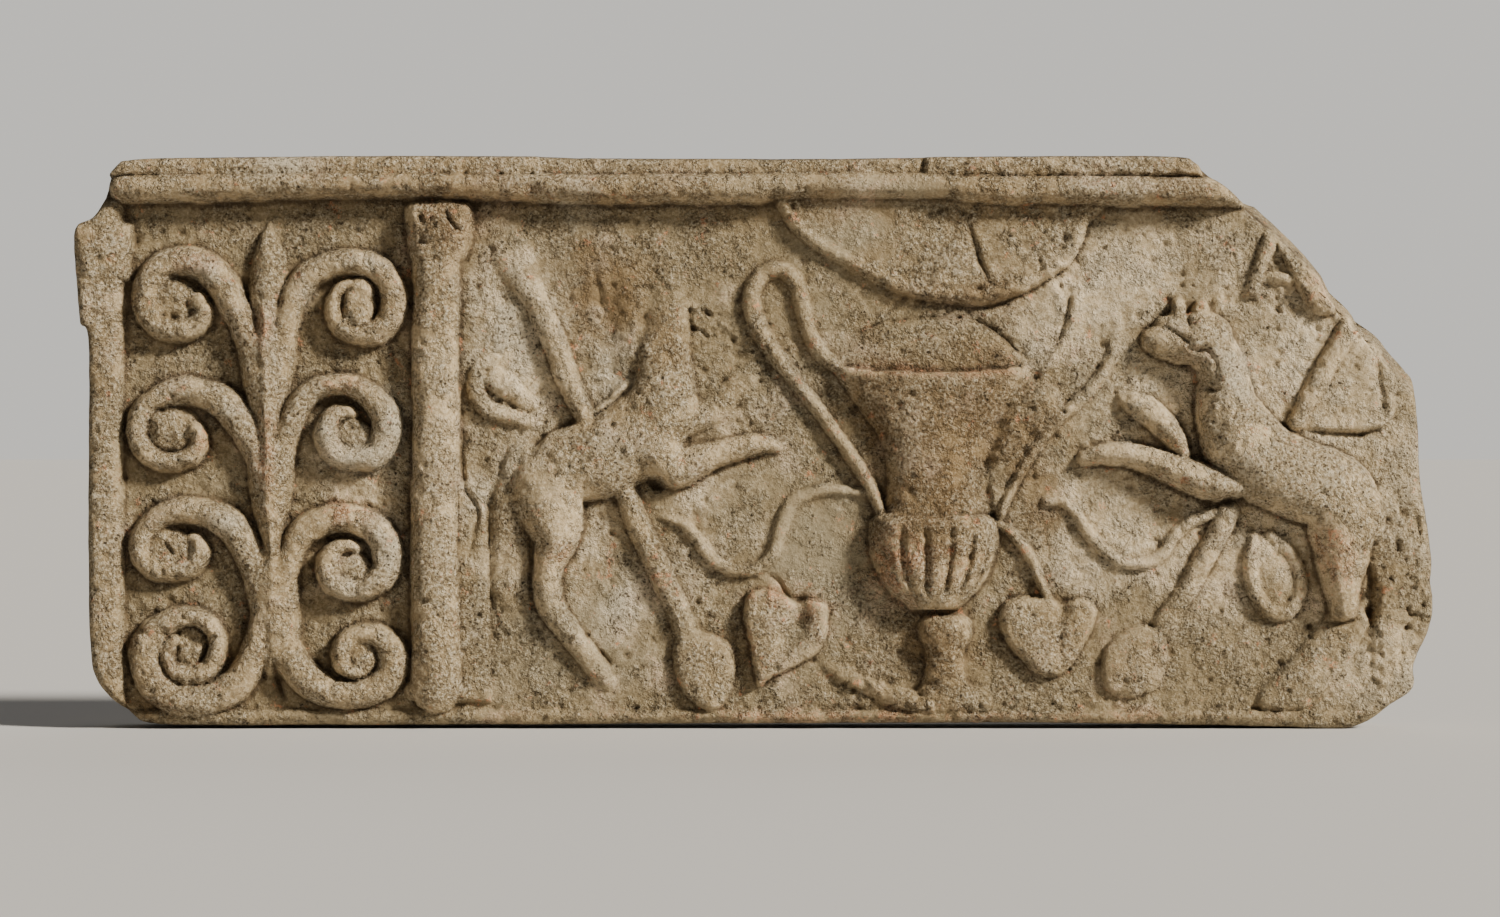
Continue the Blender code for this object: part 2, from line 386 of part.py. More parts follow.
# Cuts in the finished surface. Points are (x, z, half width, depth).
COLUMN_CRACKS = (
    ((-129, 77, 0.8, 0.8), (-124, 75.5, 1, 1.2), (-118, 76.5, 0.9, 1), (-113, 75.5, 0.8, 0.6)),
    ((-130, 88, 0.6, 0.6), (-126, 84, 0.8, 1.2), (-125.4, 79, 0.7, 0.8)),
    ((-118, 90, 0.6, 0.8), (-116, 84.6, 0.8, 1.2), (-112.4, 80.6, 0.7, 0.8)),
    ((-126, -60.4, 0.6, 0.4), (-121, -61.4, 0.7, 0.8), (-117, -60.8, 0.5, 0.4)),
    ((-112.8, 8, 0.6, 0.6), (-112.4, -6, 0.8, 1.2), (-110.6, -18, 0.9, 1.6), (-106, -26, 0.9, 1.6),
     (-107.6, -34, 0.8, 1.2), (-109, -44, 0.7, 0.8)),
)
FIELD_CRACKS = (
    ((-24.8, 51, 0.8, 1.8), (-25.2, 47, 1, 2.2), (-24.2, 43.5, 0.9, 2), (-21.5, 42.6, 0.8, 1.4),
     (-18, 40.4, 0.6, 0.8)),
    ((-24.5, 49.5, 0.7, 1), (-21, 50.4, 0.8, 1.2), (-17.5, 48.6, 0.7, 0.8), (-14, 49.2, 0.6, 0.5)),
    ((-70, 31, 0.5, 0.8), (-67.5, 26.5, 0.7, 1.2), (-66, 20.5, 0.6, 1.2), (-63, 16, 0.6, 0.8)),
    ((79.5, 88, 0.9, 1.6), (81.5, 82, 1, 1.8), (83, 76, 1, 1.6), (85.5, 69, 1, 1.8), (88.5, 62, 0.9, 1)),
    ((72, 52.6, 0.7, 0.8), (84, 51.5, 0.9, 1.4), (91, 52, 0.8, 1.2), (98, 57, 0.9, 1.2),
     (104, 60, 0.8, 0.9)),
    ((-62, 70, 1, 0.8), (-60, 60, 1.2, 1), (-57, 50, 1, 0.8)),
    ((36.5, 40, 0.7, 0.8), (46, 45.2, 0.8, 1.2), (58, 47.8, 0.8, 1.2), (71, 48.4, 0.8, 1.2),
     (84, 47.2, 0.8, 1.2), (92.5, 42.6, 0.9, 1.6), (99, 36.5, 0.9, 1.6), (104, 31, 0.8, 1)),
    ((108, 28, 1, 1.4), (107, 23, 0.9, 1), (106, 19, 0.8, 0.6)),
    ((5.5, -50, 0.7, 0.8), (9.5, -53.5, 0.9, 1.4), (12, -58, 0.9, 1.4), (15.5, -60, 0.8, 1)),
    ((-62, -76, 0.6, 0.8), (-56, -83, 0.7, 1), (-51, -86, 0.6, 0.6)),
    ((145, 18.4, 0.7, 1), (149.5, 16.4, 0.9, 1.8), (153.5, 12.6, 0.8, 1.2)),
    ((236.8, 35, 1, 0.5), (237.8, 27, 1.3, 0.8), (239, 19, 1.2, 0.8), (239.4, 12, 1, 0.4)),
    ((214, 4.6, 0.7, 0.8), (223.5, 3.8, 0.9, 1.4), (231, 2.8, 0.9, 1.4), (238.4, 4.6, 0.7, 0.8)),
    ((253.5, -29, 0.8, 1.4), (254.8, -37, 0.8, 1.4), (252.5, -41, 0.7, 0.8)),
    ((190, -101, 0.9, 1.2), (199, -102.5, 1, 1.4), (209, -102.5, 0.9, 1)),
    ((217, -67.6, 0.9, 1), (222, -68.6, 1.1, 2), (228, -68, 0.9, 1.4)),
    ((235, -47, 0.8, 0.8), (235.8, -54, 1.4, 2.2), (236.2, -61, 1.9, 2.6), (235.4, -68.4, 1.6, 2)),
    ((225.6, -39.8, 0.5, 0.6), (230, -40.4, 0.6, 1), (235, -39.6, 0.7, 1), (236, -37.4, 0.7, 1.2)),
    ((244, -33, 1, 0.6), (245.4, -40, 1, 0.8), (245.6, -47, 1, 0.5)),
    ((150.5, 45, 0.6, 0.6), (156, 44, 0.7, 1), (161, 41.4, 0.8, 1.2), (165.6, 37.8, 0.7, 1)),
    ((171, 35.6, 0.6, 0.8), (174.4, 32, 0.7, 1), (175.6, 28, 0.7, 1), (175, 24, 0.6, 0.6)),
    ((107, 27, 0.9, 1.2), (115, 38, 0.9, 1.2), (118.8, 50, 0.9, 1.1), (120.6, 58, 0.8, 0.7)),
)
DENTS = (
    (-237, 78, 1.6, 1.2), (-238, 69, 1.2, 0.8), (-238, 21, 1.2, 1), (-85, 96.5, 3.4, 2.2),
    (-90, 97, 2, 1.2), (-37.5, -15, 3.2, 4.6), (180.5, -22, 2.6, 3.2), (172, -23, 2.2, 1.2),
    (3, -58, 1.4, 1.2), (5, 64, 1, 0.8), (235, -64.6, 2.2, 3), (242.6, -52, 1.1, 1.2),
    (251, -55, 1.3, 1.2), (255, -62, 1.2, 1.2), (249.5, -70, 1.4, 1.4), (253, -68, 1, 1.2),
    (256, -53, 1.2, 1.2), (147, 50, 1, 0.6), (128, 0, 1.2, 0.6), (22, -83, 1.4, 1.2),
    (211.4, -70, 1.3, 1.6), (211.8, -74, 1.1, 1.2), (6, 92, 3, 0.8), (169.4, 36.4, 1.4, 0.8),
    (157.4, 49.6, 1.2, 0.8), (163.2, 47.4, 1.1, 1.2), (164.4, 30.6, 2, 1.2),
)


def clear_scene():
    for old in list(bpy.data.objects):
        bpy.data.objects.remove(old, do_unlink=True)


def smooth_line(points, steps, closed=False):
    """Points on a Catmull-Rom curve through the given rows, of any number of columns."""
    rows = np.array(points, float)
    if closed:
        rows = np.vstack([rows[-1:], rows, rows[:2]])
    else:
        rows = np.vstack([2 * rows[0] - rows[1], rows, 2 * rows[-1] - rows[-2]])
    t = np.linspace(0, 1, steps, endpoint=False)[:, None]
    parts = []
    for before, start, end, after in zip(rows[:-3], rows[1:-2], rows[2:-1], rows[3:]):
        bend = 2 * before - 5 * start + 4 * end - after
        twist = 3 * start - before - 3 * end + after
        parts.append(0.5 * (2 * start + (end - before) * t + bend * t**2 + twist * t**3))
    parts.append(rows[-2:-1])
    return np.vstack(parts)


def even_steps(line, count):
    """The same line as count points at equal distances."""
    gaps = np.hypot(*np.diff(line, axis=0).T)
    run = np.concatenate([[0], np.cumsum(gaps)])
    at = np.linspace(0, run[-1], count)
    return np.column_stack([np.interp(at, run, line[:, 0]), np.interp(at, run, line[:, 1])])


def clay_noise(x, z, wavelength, seed):
    """Smooth noise between about -1 and 1 with bumps of the given size."""
    size = 128
    table = np.random.default_rng(seed).uniform(-1, 1, (size, size))
    across = x / wavelength + 1000
    up = z / wavelength + 1000
    left = np.floor(across).astype(int)
    low = np.floor(up).astype(int)
    s = across - left
    t = up - low
    s = s * s * s * (s * (s * 6 - 15) + 10)
    t = t * t * t * (t * (t * 6 - 15) + 10)
    left, right = left % size, (left + 1) % size
    low, high = low % size, (low + 1) % size
    lower = table[left, low] * (1 - s) + table[right, low] * s
    upper = table[left, high] * (1 - s) + table[right, high] * s
    return lower * (1 - t) + upper * t


def fractal_noise(x, z, wavelength, octaves, seed):
    total = np.zeros_like(x)
    strength = 1.0
    for octave in range(octaves):
        total += strength * clay_noise(x, z, wavelength / 2**octave, seed + octave)
        strength *= 0.5
    return total


def smooth_higher(a, b, blend):
    """The higher of two surfaces, with a fillet of the given size where they meet."""
    if blend <= 0:
        return np.maximum(a, b)
    share = np.clip(0.5 + 0.5 * (a - b) / blend, 0, 1)
    return b + (a - b) * share + blend * share * (1 - share)


def distance_to_line(x, z, line):
    """Distance from each point to an open line."""
    nearest = np.full(x.shape, np.inf)
    for (ax, az), (bx, bz) in zip(line[:-1, :2], line[1:, :2]):
        dx = bx - ax
        dz = bz - az
        t = np.clip(((x - ax) * dx + (z - az) * dz) / max(dx * dx + dz * dz, 1e-18), 0, 1)
        nearest = np.minimum(nearest, (x - ax - t * dx) ** 2 + (z - az - t * dz) ** 2)
    return np.sqrt(nearest)


def inside_line(x, z, line):
    """Whether each point lies inside a closed line."""
    inside = np.zeros(x.shape, bool)
    for (ax, az), (bx, bz) in zip(line[:-1], line[1:]):
        if az == bz:
            continue
        crosses = (az > z) != (bz > z)
        inside ^= crosses & (x < ax + (z - az) * (bx - ax) / (bz - az))
    return inside


class Drawing:
    """A drawing in its own units, laid on the face at an axis and a base line."""

    STEEPNESS = 2.4
    MARGIN = 4.0
    STEPS = 12
    WANDER = 0.45
    WANDER_LENGTH = 0.011

    def __init__(self, face, drawn_axis, axis, drawn_base, base, unit, rise_unit):
        stray_x = self.WANDER * clay_noise(face["x"], face["z"], self.WANDER_LENGTH, 41)
        stray_z = self.WANDER * clay_noise(face["x"], face["z"], self.WANDER_LENGTH, 47)
        self.face = face
        self.x = drawn_axis + (face["x"] - axis) / unit + stray_x
        self.z = drawn_base + (face["z"] - base) / unit + stray_z
        self.rise_unit = rise_unit

    def near(self, line, reach):
        low = line[:, :2].min(axis=0) - reach
        high = line[:, :2].max(axis=0) + reach
        return (self.x > low[0]) & (self.x < high[0]) & (self.z > low[1]) & (self.z < high[1])

    def lay(self, spot, value, blend):
        rise = self.face["rise"]
        rise[spot] = smooth_higher(value * self.rise_unit, rise[spot], blend * self.rise_unit)

    def swept(self, spot, line, fullness):
        """Rise of a roll of clay along a line of (x, z, half width, rise) rows."""
        x = self.x[spot]
        z = self.z[spot]
        best = np.full(x.shape, -1e3)
        for start in range(0, len(line) - 1, self.STEPS):
            piece = line[start:start + self.STEPS + 1]
            reach = piece[:, 2].max() + self.MARGIN
            low = piece[:, :2].min(axis=0) - reach
            high = piece[:, :2].max(axis=0) + reach
            close = (x > low[0]) & (x < high[0]) & (z > low[1]) & (z < high[1])
            best[close] = np.maximum(best[close], self.swept_piece(x[close], z[close], piece, fullness))
        return best

    def swept_piece(self, x, z, piece, fullness):
        best = np.full(x.shape, -1e3)
        for a, b in zip(piece[:-1], piece[1:]):
            dx, dz = b[:2] - a[:2]
            t = np.clip(((x - a[0]) * dx + (z - a[1]) * dz) / max(dx * dx + dz * dz, 1e-12), 0, 1)
            away = np.hypot(x - a[0] - t * dx, z - a[1] - t * dz)
            half = a[2] + (b[2] - a[2]) * t
            share = away / half
            crown = (a[3] + (b[3] - a[3]) * t) * np.sqrt(np.clip(1 - share**fullness, 0, 1))
            best = np.maximum(best, np.where(share < 1, crown, (half - away) * self.STEEPNESS))
        return best

    def roll(self, points, fullness=2.0, blend=1.0):
        line = smooth_line(points, self.STEPS)
        spot = self.near(line, line[:, 2].max() + self.MARGIN)
        self.lay(spot, self.swept(spot, line, fullness), blend)

    def limbs(self, rolls, fullness=2.0, blend=1.0, soften=3.0):
        """Several rolls melted into one body before it is laid on the face."""
        lines = [smooth_line(points, self.STEPS) for points in rolls]
        every = np.vstack(lines)
        spot = self.near(every, every[:, 2].max() + self.MARGIN)
        body = self.swept(spot, lines[0], fullness)
        for line in lines[1:]:
            body = smooth_higher(self.swept(spot, line, fullness), body, soften)
        self.lay(spot, body, blend)

    def plate(self, outline, rise, edge, crown=0.0, blend=0.8, smooth=True):
        """A flat shape with a rounded edge, swelling by the crown towards its middle."""
        line = smooth_line(outline, 6, closed=True) if smooth else np.array(outline + outline[:1], float)
        spot = self.near(line, self.MARGIN)
        x = self.x[spot]
        z = self.z[spot]
        away = distance_to_line(x, z, line)
        inward = np.where(inside_line(x, z, line), away, -away)
        share = np.clip(inward / edge, 0, 1)
        top = rise * np.sqrt(np.clip(1 - (1 - share) ** 2, 0, 1))
        top += crown * (1 - np.exp(-np.maximum(inward, 0) / (2 * edge)))
        self.lay(spot, np.where(inward > 0, top, inward * self.STEEPNESS), blend)

    def turned(self, profile, axis, blend=0.8, ribs=None, bow=0.0):
        """Half of a turned form, from (z, half width, rise) rows; a bow makes its rim sag."""
        rows = smooth_line(profile, 6)[::-1]
        wide = rows[:, 1].max()
        spot = np.abs(self.x - axis) < wide + self.MARGIN
        spot &= (self.z > rows[0, 0] - self.MARGIN) & (self.z < rows[-1, 0] + self.MARGIN)
        x = self.x[spot] - axis
        z = self.z[spot]
        level = np.clip((z - rows[0, 0]) / (rows[-1, 0] - rows[0, 0]), 0, 1)
        z = z + bow * level * (1 - (x / wide) ** 2)
        half = np.interp(z, rows[:, 0], rows[:, 1])
        rise = np.interp(z, rows[:, 0], rows[:, 2])
        share = np.clip(np.abs(x) / half, 0, 1)
        top = rise * np.sqrt(1 - share**2.2)
        if ribs is not None:
            top -= ribs(np.arcsin(np.clip(x / half, -1, 1)), z)
        past = np.maximum(np.maximum(rows[0, 0] - z, z - rows[-1, 0]), np.abs(x) - half)
        self.lay(spot, np.where(past < 0, top, -past * self.STEEPNESS), blend)

    def swell(self, x, z, reach_x, reach_z, rise):
        """A broad, soft rise or sinking of the surface."""
        away = ((self.x - x) / reach_x) ** 2 + ((self.z - z) / reach_z) ** 2
        self.face["rise"] += rise * self.rise_unit * np.exp(-away)

    def groove(self, points, steps=5):
        line = smooth_line(points, steps)
        spot = self.near(line, 2.5 * line[:, 2].max())
        cut = np.zeros(np.count_nonzero(spot))
        x = self.x[spot]
        z = self.z[spot]
        for a, b in zip(line[:-1], line[1:]):
            dx, dz = b[:2] - a[:2]
            t = np.clip(((x - a[0]) * dx + (z - a[1]) * dz) / max(dx * dx + dz * dz, 1e-12), 0, 1)
            away = np.hypot(x - a[0] - t * dx, z - a[1] - t * dz)
            half = a[2] + (b[2] - a[2]) * t
            cut = np.maximum(cut, (a[3] + (b[3] - a[3]) * t) * np.exp(-((away / half) ** 2)))
        self.face["rise"][spot] -= cut * self.rise_unit

    def dent(self, x, z, radius, depth):
        away = np.hypot(self.x - x, self.z - z) / radius
        self.face["rise"] -= depth * self.rise_unit * np.exp(-(away**3))


def frame_drawing(face):
    """The plaque itself at full size, in millimetres, for what follows the driving dimensions."""
    return Drawing(face, 0, 0, 0, 0, 0.001, 0.001)


def figure_drawing(face, drawn_axis, axis):
    """Figures keep their pose and grow with the field's height, and rise with FIGURE_RISE."""
    unit = (TORUS_BOTTOM - FIELD_BOTTOM) / (DRAWN_FIELD[1] - DRAWN_FIELD[0])
    return Drawing(face, drawn_axis, axis, DRAWN_FIELD[0], FIELD_BOTTOM, unit, FIGURE_RISE / DRAWN_RISE)


def lay_cornice(frame):
    """A flat fillet with a worn round moulding below it."""
    middle = 500 * (TORUS_TOP + TORUS_BOTTOM)
    half = 500 * TORUS_HEIGHT
    rise = 1000 * TORUS_RISE
    top = 1000 * TOP + PAST_THE_RIM
    low = 1000 * TORUS_TOP - 2
    across = 1000 * PLAQUE_WIDTH / DRAWN_WIDTH
    left = 1000 * LEFT + CORNICE_START
    right = CORNICE_END * across
    breaks = [edge * across for edge in BROKEN_FILLET]
    for start, end, share in ((left, breaks[0], 1), (breaks[0] - 4, breaks[1] + 4, BROKEN_FILLET_SHARE),
                              (breaks[1], right, 1)):
        fillet = ((start, low), (end, low), (end - 3, top), (start, top))
        frame.plate(fillet, 1000 * FILLET_RISE * share, 2.2, blend=1.0, smooth=False)
    torus = [(x * across, middle + drop, half * wide, rise * high) for x, drop, wide, high in TORUS_WEAR]
    frame.roll(torus, fullness=2.3, blend=1.2)


def lay_ledge(frame):
    side = 500 * PLAQUE_WIDTH + PAST_THE_RIM
    low = -500 * PLAQUE_HEIGHT - PAST_THE_RIM
    high = 1000 * FIELD_BOTTOM
    band = ((-side, low), (side, low), (side, high), (-side, high))
    frame.plate(band, 1000 * LEDGE_RISE, 2.5, blend=1.5, smooth=False)


def lay_pilaster(frame):
    """The plain upright at the left, with a slightly wider head block."""
    left = 1000 * LEFT - PAST_THE_RIM
    right = 1000 * PILASTER_RIGHT
    low = 1000 * FIELD_BOTTOM - PAST_THE_RIM
    high = 1000 * TORUS_BOTTOM + 2
    head = high - 1000 * PILASTER_HEAD_HEIGHT
    over = 1000 * PILASTER_HEAD_OVERHANG
    rise = 1000 * PILASTER_RISE
    shaft = ((left, low), (right, low), (right, high), (left, high))
    block = ((left, head), (right + over / 2, head), (right + over, high - 9), (left, high - 7))
    frame.plate(shaft, rise, 6.0, blend=2.0, smooth=False)
    frame.plate(block, rise * 1.12, 6.0, blend=3.0, smooth=False)


def lay_column(frame):
    """A half-round shaft with a rough square capital, a spread base and a low strip beside it."""
    left = 1000 * COLUMN_LEFT
    right = 1000 * COLUMN_RIGHT
    middle = (left + right) / 2
    half = (right - left) / 2
    ground = 1000 * FIELD_BOTTOM
    low = ground + 1000 * COLUMN_FOOT_HEIGHT
    neck = 1000 * (TORUS_BOTTOM - CAPITAL_HEIGHT)
    high = 1000 * TORUS_BOTTOM + 1
    rise = 1000 * COLUMN_RISE
    over = 1000 * CAPITAL_OVERHANG
    strip_right = right + 1000 * STRIP_WIDTH
    strip_top = ground + 1000 * STRIP_HEIGHT
    strip = ((right - 4, ground + 2), (strip_right, ground + 2), (strip_right - 1.5, strip_top),
             (right - 4, strip_top))
    frame.plate(strip, 1000 * STRIP_RISE, 3.0, blend=1.0, smooth=False)
    shaft = ((middle, low, half * 1.06, rise * 0.9), (middle, low + 11, half * 1.04, rise),
             (middle - 0.6, low + 0.33 * (neck - low), half, rise),
             (middle - 0.4, low + 0.63 * (neck - low), half * 0.97, rise),
             (middle, neck, half * 0.97, rise), (middle, neck + 8, half * 0.94, rise))
    frame.roll(shaft, fullness=2.5, blend=1.0)
    foot = ((left - 1, ground + 3), (right + 1, ground + 3), (right, low + 3), (left, low + 4))
    frame.plate(foot, rise * 0.6, 6.0, blend=4.0)
    capital = ((left + 1, neck - 4), (middle, neck - 4), (right, neck - 3), (right + over + 1, neck + 6),
               (right + over, high), (left - 0.5, high), (left - 2, neck + 8))
    frame.plate(capital, rise * 1.08, 8.0, blend=4.0)


def lay_scroll_tree(panel):
    for heart in SCROLL_HEARTS:
        panel.roll(heart, fullness=3.0, blend=1.0)
    for shoot in RIGHT_SHOOTS + LEFT_SHOOTS:
        panel.roll(shoot, fullness=2.1, blend=1.6)
    for trunk in TRUNKS:
        panel.roll(trunk, fullness=1.4, blend=2.0)
    panel.roll(STEM, fullness=1.6, blend=1.5)
    panel.roll(BUD_SPEAR, fullness=1.5, blend=0.8)
    for slit in SCROLL_SLITS:
        panel.groove(slit)


def lay_staffs(field):
    for shaft in LEFT_STAFF + RIGHT_STAFF:
        field.roll(shaft, fullness=2.2, blend=1.2)
    field.plate(LEFT_PADDLE, 3.6, 2.4, crown=1.8)
    field.plate(RIGHT_PADDLE, 2.6, 2.2, crown=1.2)


def lay_plants(field):
    field.roll(LEFT_CURL, blend=0.8)
    field.roll(LEFT_CURL_PETAL, blend=1.2)
    field.roll(LEFT_TENDRIL, blend=1.2)
    field.roll(RIGHT_TENDRIL, blend=1.2)
    field.plate(UPPER_LEAF, 1.4, 3.0, blend=1.5)
    field.roll(UPPER_TENDRIL, blend=1.0)
    field.roll(RIGHT_STALK, blend=1.0)
    field.roll(OVAL_BUD_BODY, blend=1.5)
    field.roll(OVAL_BUD, blend=0.8)
    for leg in TOP_BUD:
        field.roll(leg, blend=0.8)
    field.plate(LEFT_LEAF, 4.6, 2.0, crown=1.0, blend=0.8)
    field.groove(LEFT_LEAF_HOLLOW)
    field.plate(RIGHT_LEAF, 4.2, 2.6, crown=1.2, blend=1.0)
    field.groove(RIGHT_LEAF_HOLLOW)


def gadroons(angle, z):
    """Depth cut between the ribs of the vessel's body, fading out towards its shoulder and foot."""
    valley = 0.5 + 0.5 * np.cos(GADROONS * angle - GADROON_PHASE * math.tau)
    fade = np.clip((GADROON_TOP - z) / GADROON_TOP_FADE, 0, 1)
    fade *= np.clip((z - GADROON_FOOT) / GADROON_FOOT_FADE, 0, 1)
    fade *= np.clip((angle - GADROON_FIRST_ANGLE) / GADROON_SIDE_FADE, 0, 1)
    return GADROON_DEPTH * valley**GADROON_SHARPNESS * fade


def lay_vessel(field):
    field.plate(VASE_SHOULDER, 3.0, 6.0, blend=2.5)
    field.plate(VASE_MOUTH, 2.0, 3.0, crown=0.8, blend=1.2)
    field.plate(BOWL, 3.2, 2.6, blend=0.8)
    field.plate(BOWL_RIDGE, 4.6, 4.0, blend=2.0)
    field.roll(BOWL_LIP, blend=1.6)
    field.roll(LEFT_HANDLE, blend=1.0)
    for strand in RIGHT_HANDLE:
        field.roll(strand, blend=1.2)
    for lump in GROUND_LUMPS:
        field.swell(*lump)
    field.roll(GROUND_RIDGE, blend=1.2)
    field.turned(VASE_NECK, DRAWN_VASE, blend=1.2, bow=NECK_BOW)
    field.turned(VASE_FOOT, DRAWN_VASE + VASE_FOOT_SHIFT, blend=2.0)
    field.turned(VASE_BODY, DRAWN_VASE, blend=0.8, ribs=gadroons)


def lay_beasts(field):
    field.roll(LEFT_BEAST_FAR_LEG, blend=2.5)
    field.roll(RIGHT_BEAST_FAR_LEG, blend=3.5)
    field.roll(RIGHT_BEAST_FOOT, fullness=3.0, blend=0.8)
    field.roll(RIGHT_BEAST_TAIL, blend=3.0)
    field.roll(LEFT_BEAST_NEAR_PAW, blend=2.5)
    field.roll(RIGHT_BEAST_NEAR_PAW, blend=1.0)
    field.roll(LEFT_BEAST_BACK_RIDGE, blend=1.0)
    field.limbs(LEFT_BEAST_BODY, blend=1.4, soften=3.0)
    field.limbs(RIGHT_BEAST_BODY, blend=1.0, soften=2.4)


def cut_damage(shaft, field):
    for crack in COLUMN_CRACKS:
        shaft.groove(crack)
    for crack in FIELD_CRACKS:
        field.groove(crack)
    for dent in DENTS:
        field.dent(*dent)


def round_edges(face, outline):
    """The front edge is worn round and falls away towards the broken outline."""
    away = distance_to_line(face["x"], face["z"], outline)
    share = np.clip(1 - away / EDGE_ROUNDING, 0, 1)
    face["rise"] -= EDGE_ROUNDING * (1 - np.sqrt(1 - 0.98 * share**2))


def model_face(face, outline):
    """Fills face["rise"], the height of the clay over the sunk field at each point."""
    frame = frame_drawing(face)
    panel = figure_drawing(face, DRAWN_STEM, STEM_AXIS)
    shaft = figure_drawing(face, DRAWN_COLUMN, COLUMN_AXIS)
    field = figure_drawing(face, DRAWN_VASE, VASE_AXIS)
    face["rise"][:] = SURFACE_SWELL * clay_noise(face["x"], face["z"], SWELL_LENGTH, 3)
    lay_ledge(frame)
    lay_staffs(field)
    lay_plants(field)
    lay_vessel(field)
    lay_beasts(field)
    lay_scroll_tree(panel)
    lay_pilaster(frame)
    lay_column(frame)
    lay_cornice(frame)
    cut_damage(shaft, field)
    face["rise"] += SURFACE_WEAR * fractal_noise(face["x"], face["z"], WEAR_LENGTH, 2, 11)
    round_edges(face, outline)


def outline_sides(columns, rows):
    """The four sides of the broken outline as evenly spaced points, in metres."""
    scale = np.array([PLAQUE_WIDTH / DRAWN_WIDTH, PLAQUE_HEIGHT / DRAWN_HEIGHT])
    sides = []
    for points in (BOTTOM_SIDE, TOP_SIDE):
        sides.append(even_steps(smooth_line(points, 6) * scale, columns))
    for points in (LEFT_SIDE, RIGHT_SIDE):
        sides.append(even_steps(smooth_line(points, 6) * scale, rows))
    return sides


def face_grid(sides):
    """A grid of points that follows the outline, blended from its four sides."""
    bottom, top, left, right = sides
    columns = len(bottom)
    rows = len(left)
    s = np.linspace(0, 1, columns)[:, None, None]
    t = np.linspace(0, 1, rows)[None, :, None]
    low = (1 - s) * bottom[0] + s * bottom[-1]
    high = (1 - s) * top[0] + s * top[-1]
    upright = (1 - t) * bottom[:, None] + t * top[:, None]
    return upright + (1 - s) * left[None] + s * right[None] - (1 - t) * low - t * high


def rim_indices(columns, rows):
    """Grid indices around the rim, seen from the front against the clock."""
    low = [column * rows for column in range(columns)]
    right = [(columns - 1) * rows + row for row in range(1, rows)]
    high = [column * rows + rows - 1 for column in range(columns - 2, -1, -1)]
    left = list(range(rows - 2, 0, -1))
    return low + right + high + left


def wall_rings(rim, along, rise_over_back):
    """Rings of points from the front rim to the back, rough and sloped where the corner broke off."""
    outward = np.roll(rim, -1, axis=0) - np.roll(rim, 1, axis=0)
    outward = np.column_stack([outward[:, 1], -outward[:, 0]])
    outward /= np.maximum(np.hypot(*outward.T), 1e-9)[:, None]
    corner = rim[:, 0] > FRACTURE_FROM * PLAQUE_WIDTH
    corner &= (rim[:, 1] > FRACTURE_LOW * PLAQUE_HEIGHT) & (rim[:, 1] < FRACTURE_HIGH * PLAQUE_HEIGHT)
    window = np.ones(15) / 15
    broken = np.convolve(np.tile(corner, 3).astype(float), window, mode="same")[len(rim):2 * len(rim)]
    rings = []
    for ring in range(1, WALL_RINGS + 1):
        share = ring / WALL_RINGS
        depth = rise_over_back * (1 - share)
        spread = FRACTURE_SLOPE * broken * share**0.7 - WALL_TAPER * (1 - broken) * share
        rough = WALL_ROUGHNESS * fractal_noise(along * 3.1 + depth, depth * 2.3 + along, 0.012, 2, 31)
        rough = (rough - 0.001) * math.sin(math.pi * min(share, 0.92))
        place = rim + outward * (spread + rough)[:, None]
        rings.append(np.column_stack([place[:, 0], -depth, place[:, 1]]))
    return rings


def build_plaque():
    columns = round(PLAQUE_WIDTH / GRID_STEP)
    rows = round(PLAQUE_HEIGHT / GRID_STEP)
    sides = outline_sides(columns, rows)
    bottom, top, left, right = sides
    outline = np.vstack([bottom, right, top[::-1], left[::-1]])
    grid = face_grid(sides)
    face = {"x": grid[..., 0], "z": grid[..., 1], "rise": np.zeros(grid.shape[:2])}
    model_face(face, outline)
    front = np.stack([face["x"], -(SLAB_THICKNESS + face["rise"]), face["z"]], axis=-1).reshape(-1, 3)

    rim = np.array(rim_indices(columns, rows))
    loose = grid.reshape(-1, 2)[rim]
    along = np.concatenate([[0], np.cumsum(np.hypot(*np.diff(loose, axis=0).T))])
    rings = wall_rings(loose, along, -front[rim, 1])
    points = np.vstack([front] + rings)

    faces = []
    for column in range(columns - 1):
        for row in range(rows - 1):
            a = column * rows + row
            faces.append((a, a + rows, a + rows + 1, a + 1))
    count = len(rim)
    upper = list(rim)
    for ring in range(WALL_RINGS):
        lower = [len(front) + ring * count + step for step in range(count)]
        for step in range(count):
            after = (step + 1) % count
            faces.append((upper[step], lower[step], lower[after], upper[after]))
        upper = lower
    faces.append(tuple(reversed(upper)))

    mesh = bpy.data.meshes.new("plaque")
    mesh.from_pydata(points.tolist(), [], faces)
    mesh.validate()
    plaque = bpy.data.objects.new("plaque", mesh)
    bpy.context.collection.objects.link(plaque)
    thin_out(plaque)
    return plaque


def thin_out(plaque):
    """Keeps small faces where the relief turns and large ones where it is flat."""
    plaque.data.calc_loop_triangles()
    thin = plaque.modifiers.new("thin_out", "DECIMATE")
    thin.decimate_type = "COLLAPSE"
    thin.ratio = min(1.0, MOST_TRIANGLES / len(plaque.data.loop_triangles))
    thin.use_collapse_triangulate = True


def fired_clay():
    clay = bpy.data.materials.new("fired_clay")
    clay.use_nodes = True
    shader = clay.node_tree.nodes["Principled BSDF"]
    shader.inputs["Base Color"].default_value = (0.42, 0.33, 0.22, 1)
    shader.inputs["Roughness"].default_value = 0.92
    shader.inputs["Metallic"].default_value = 0.0
    return clay


clear_scene()
plaque = build_plaque()
plaque.data.materials.append(fired_clay())
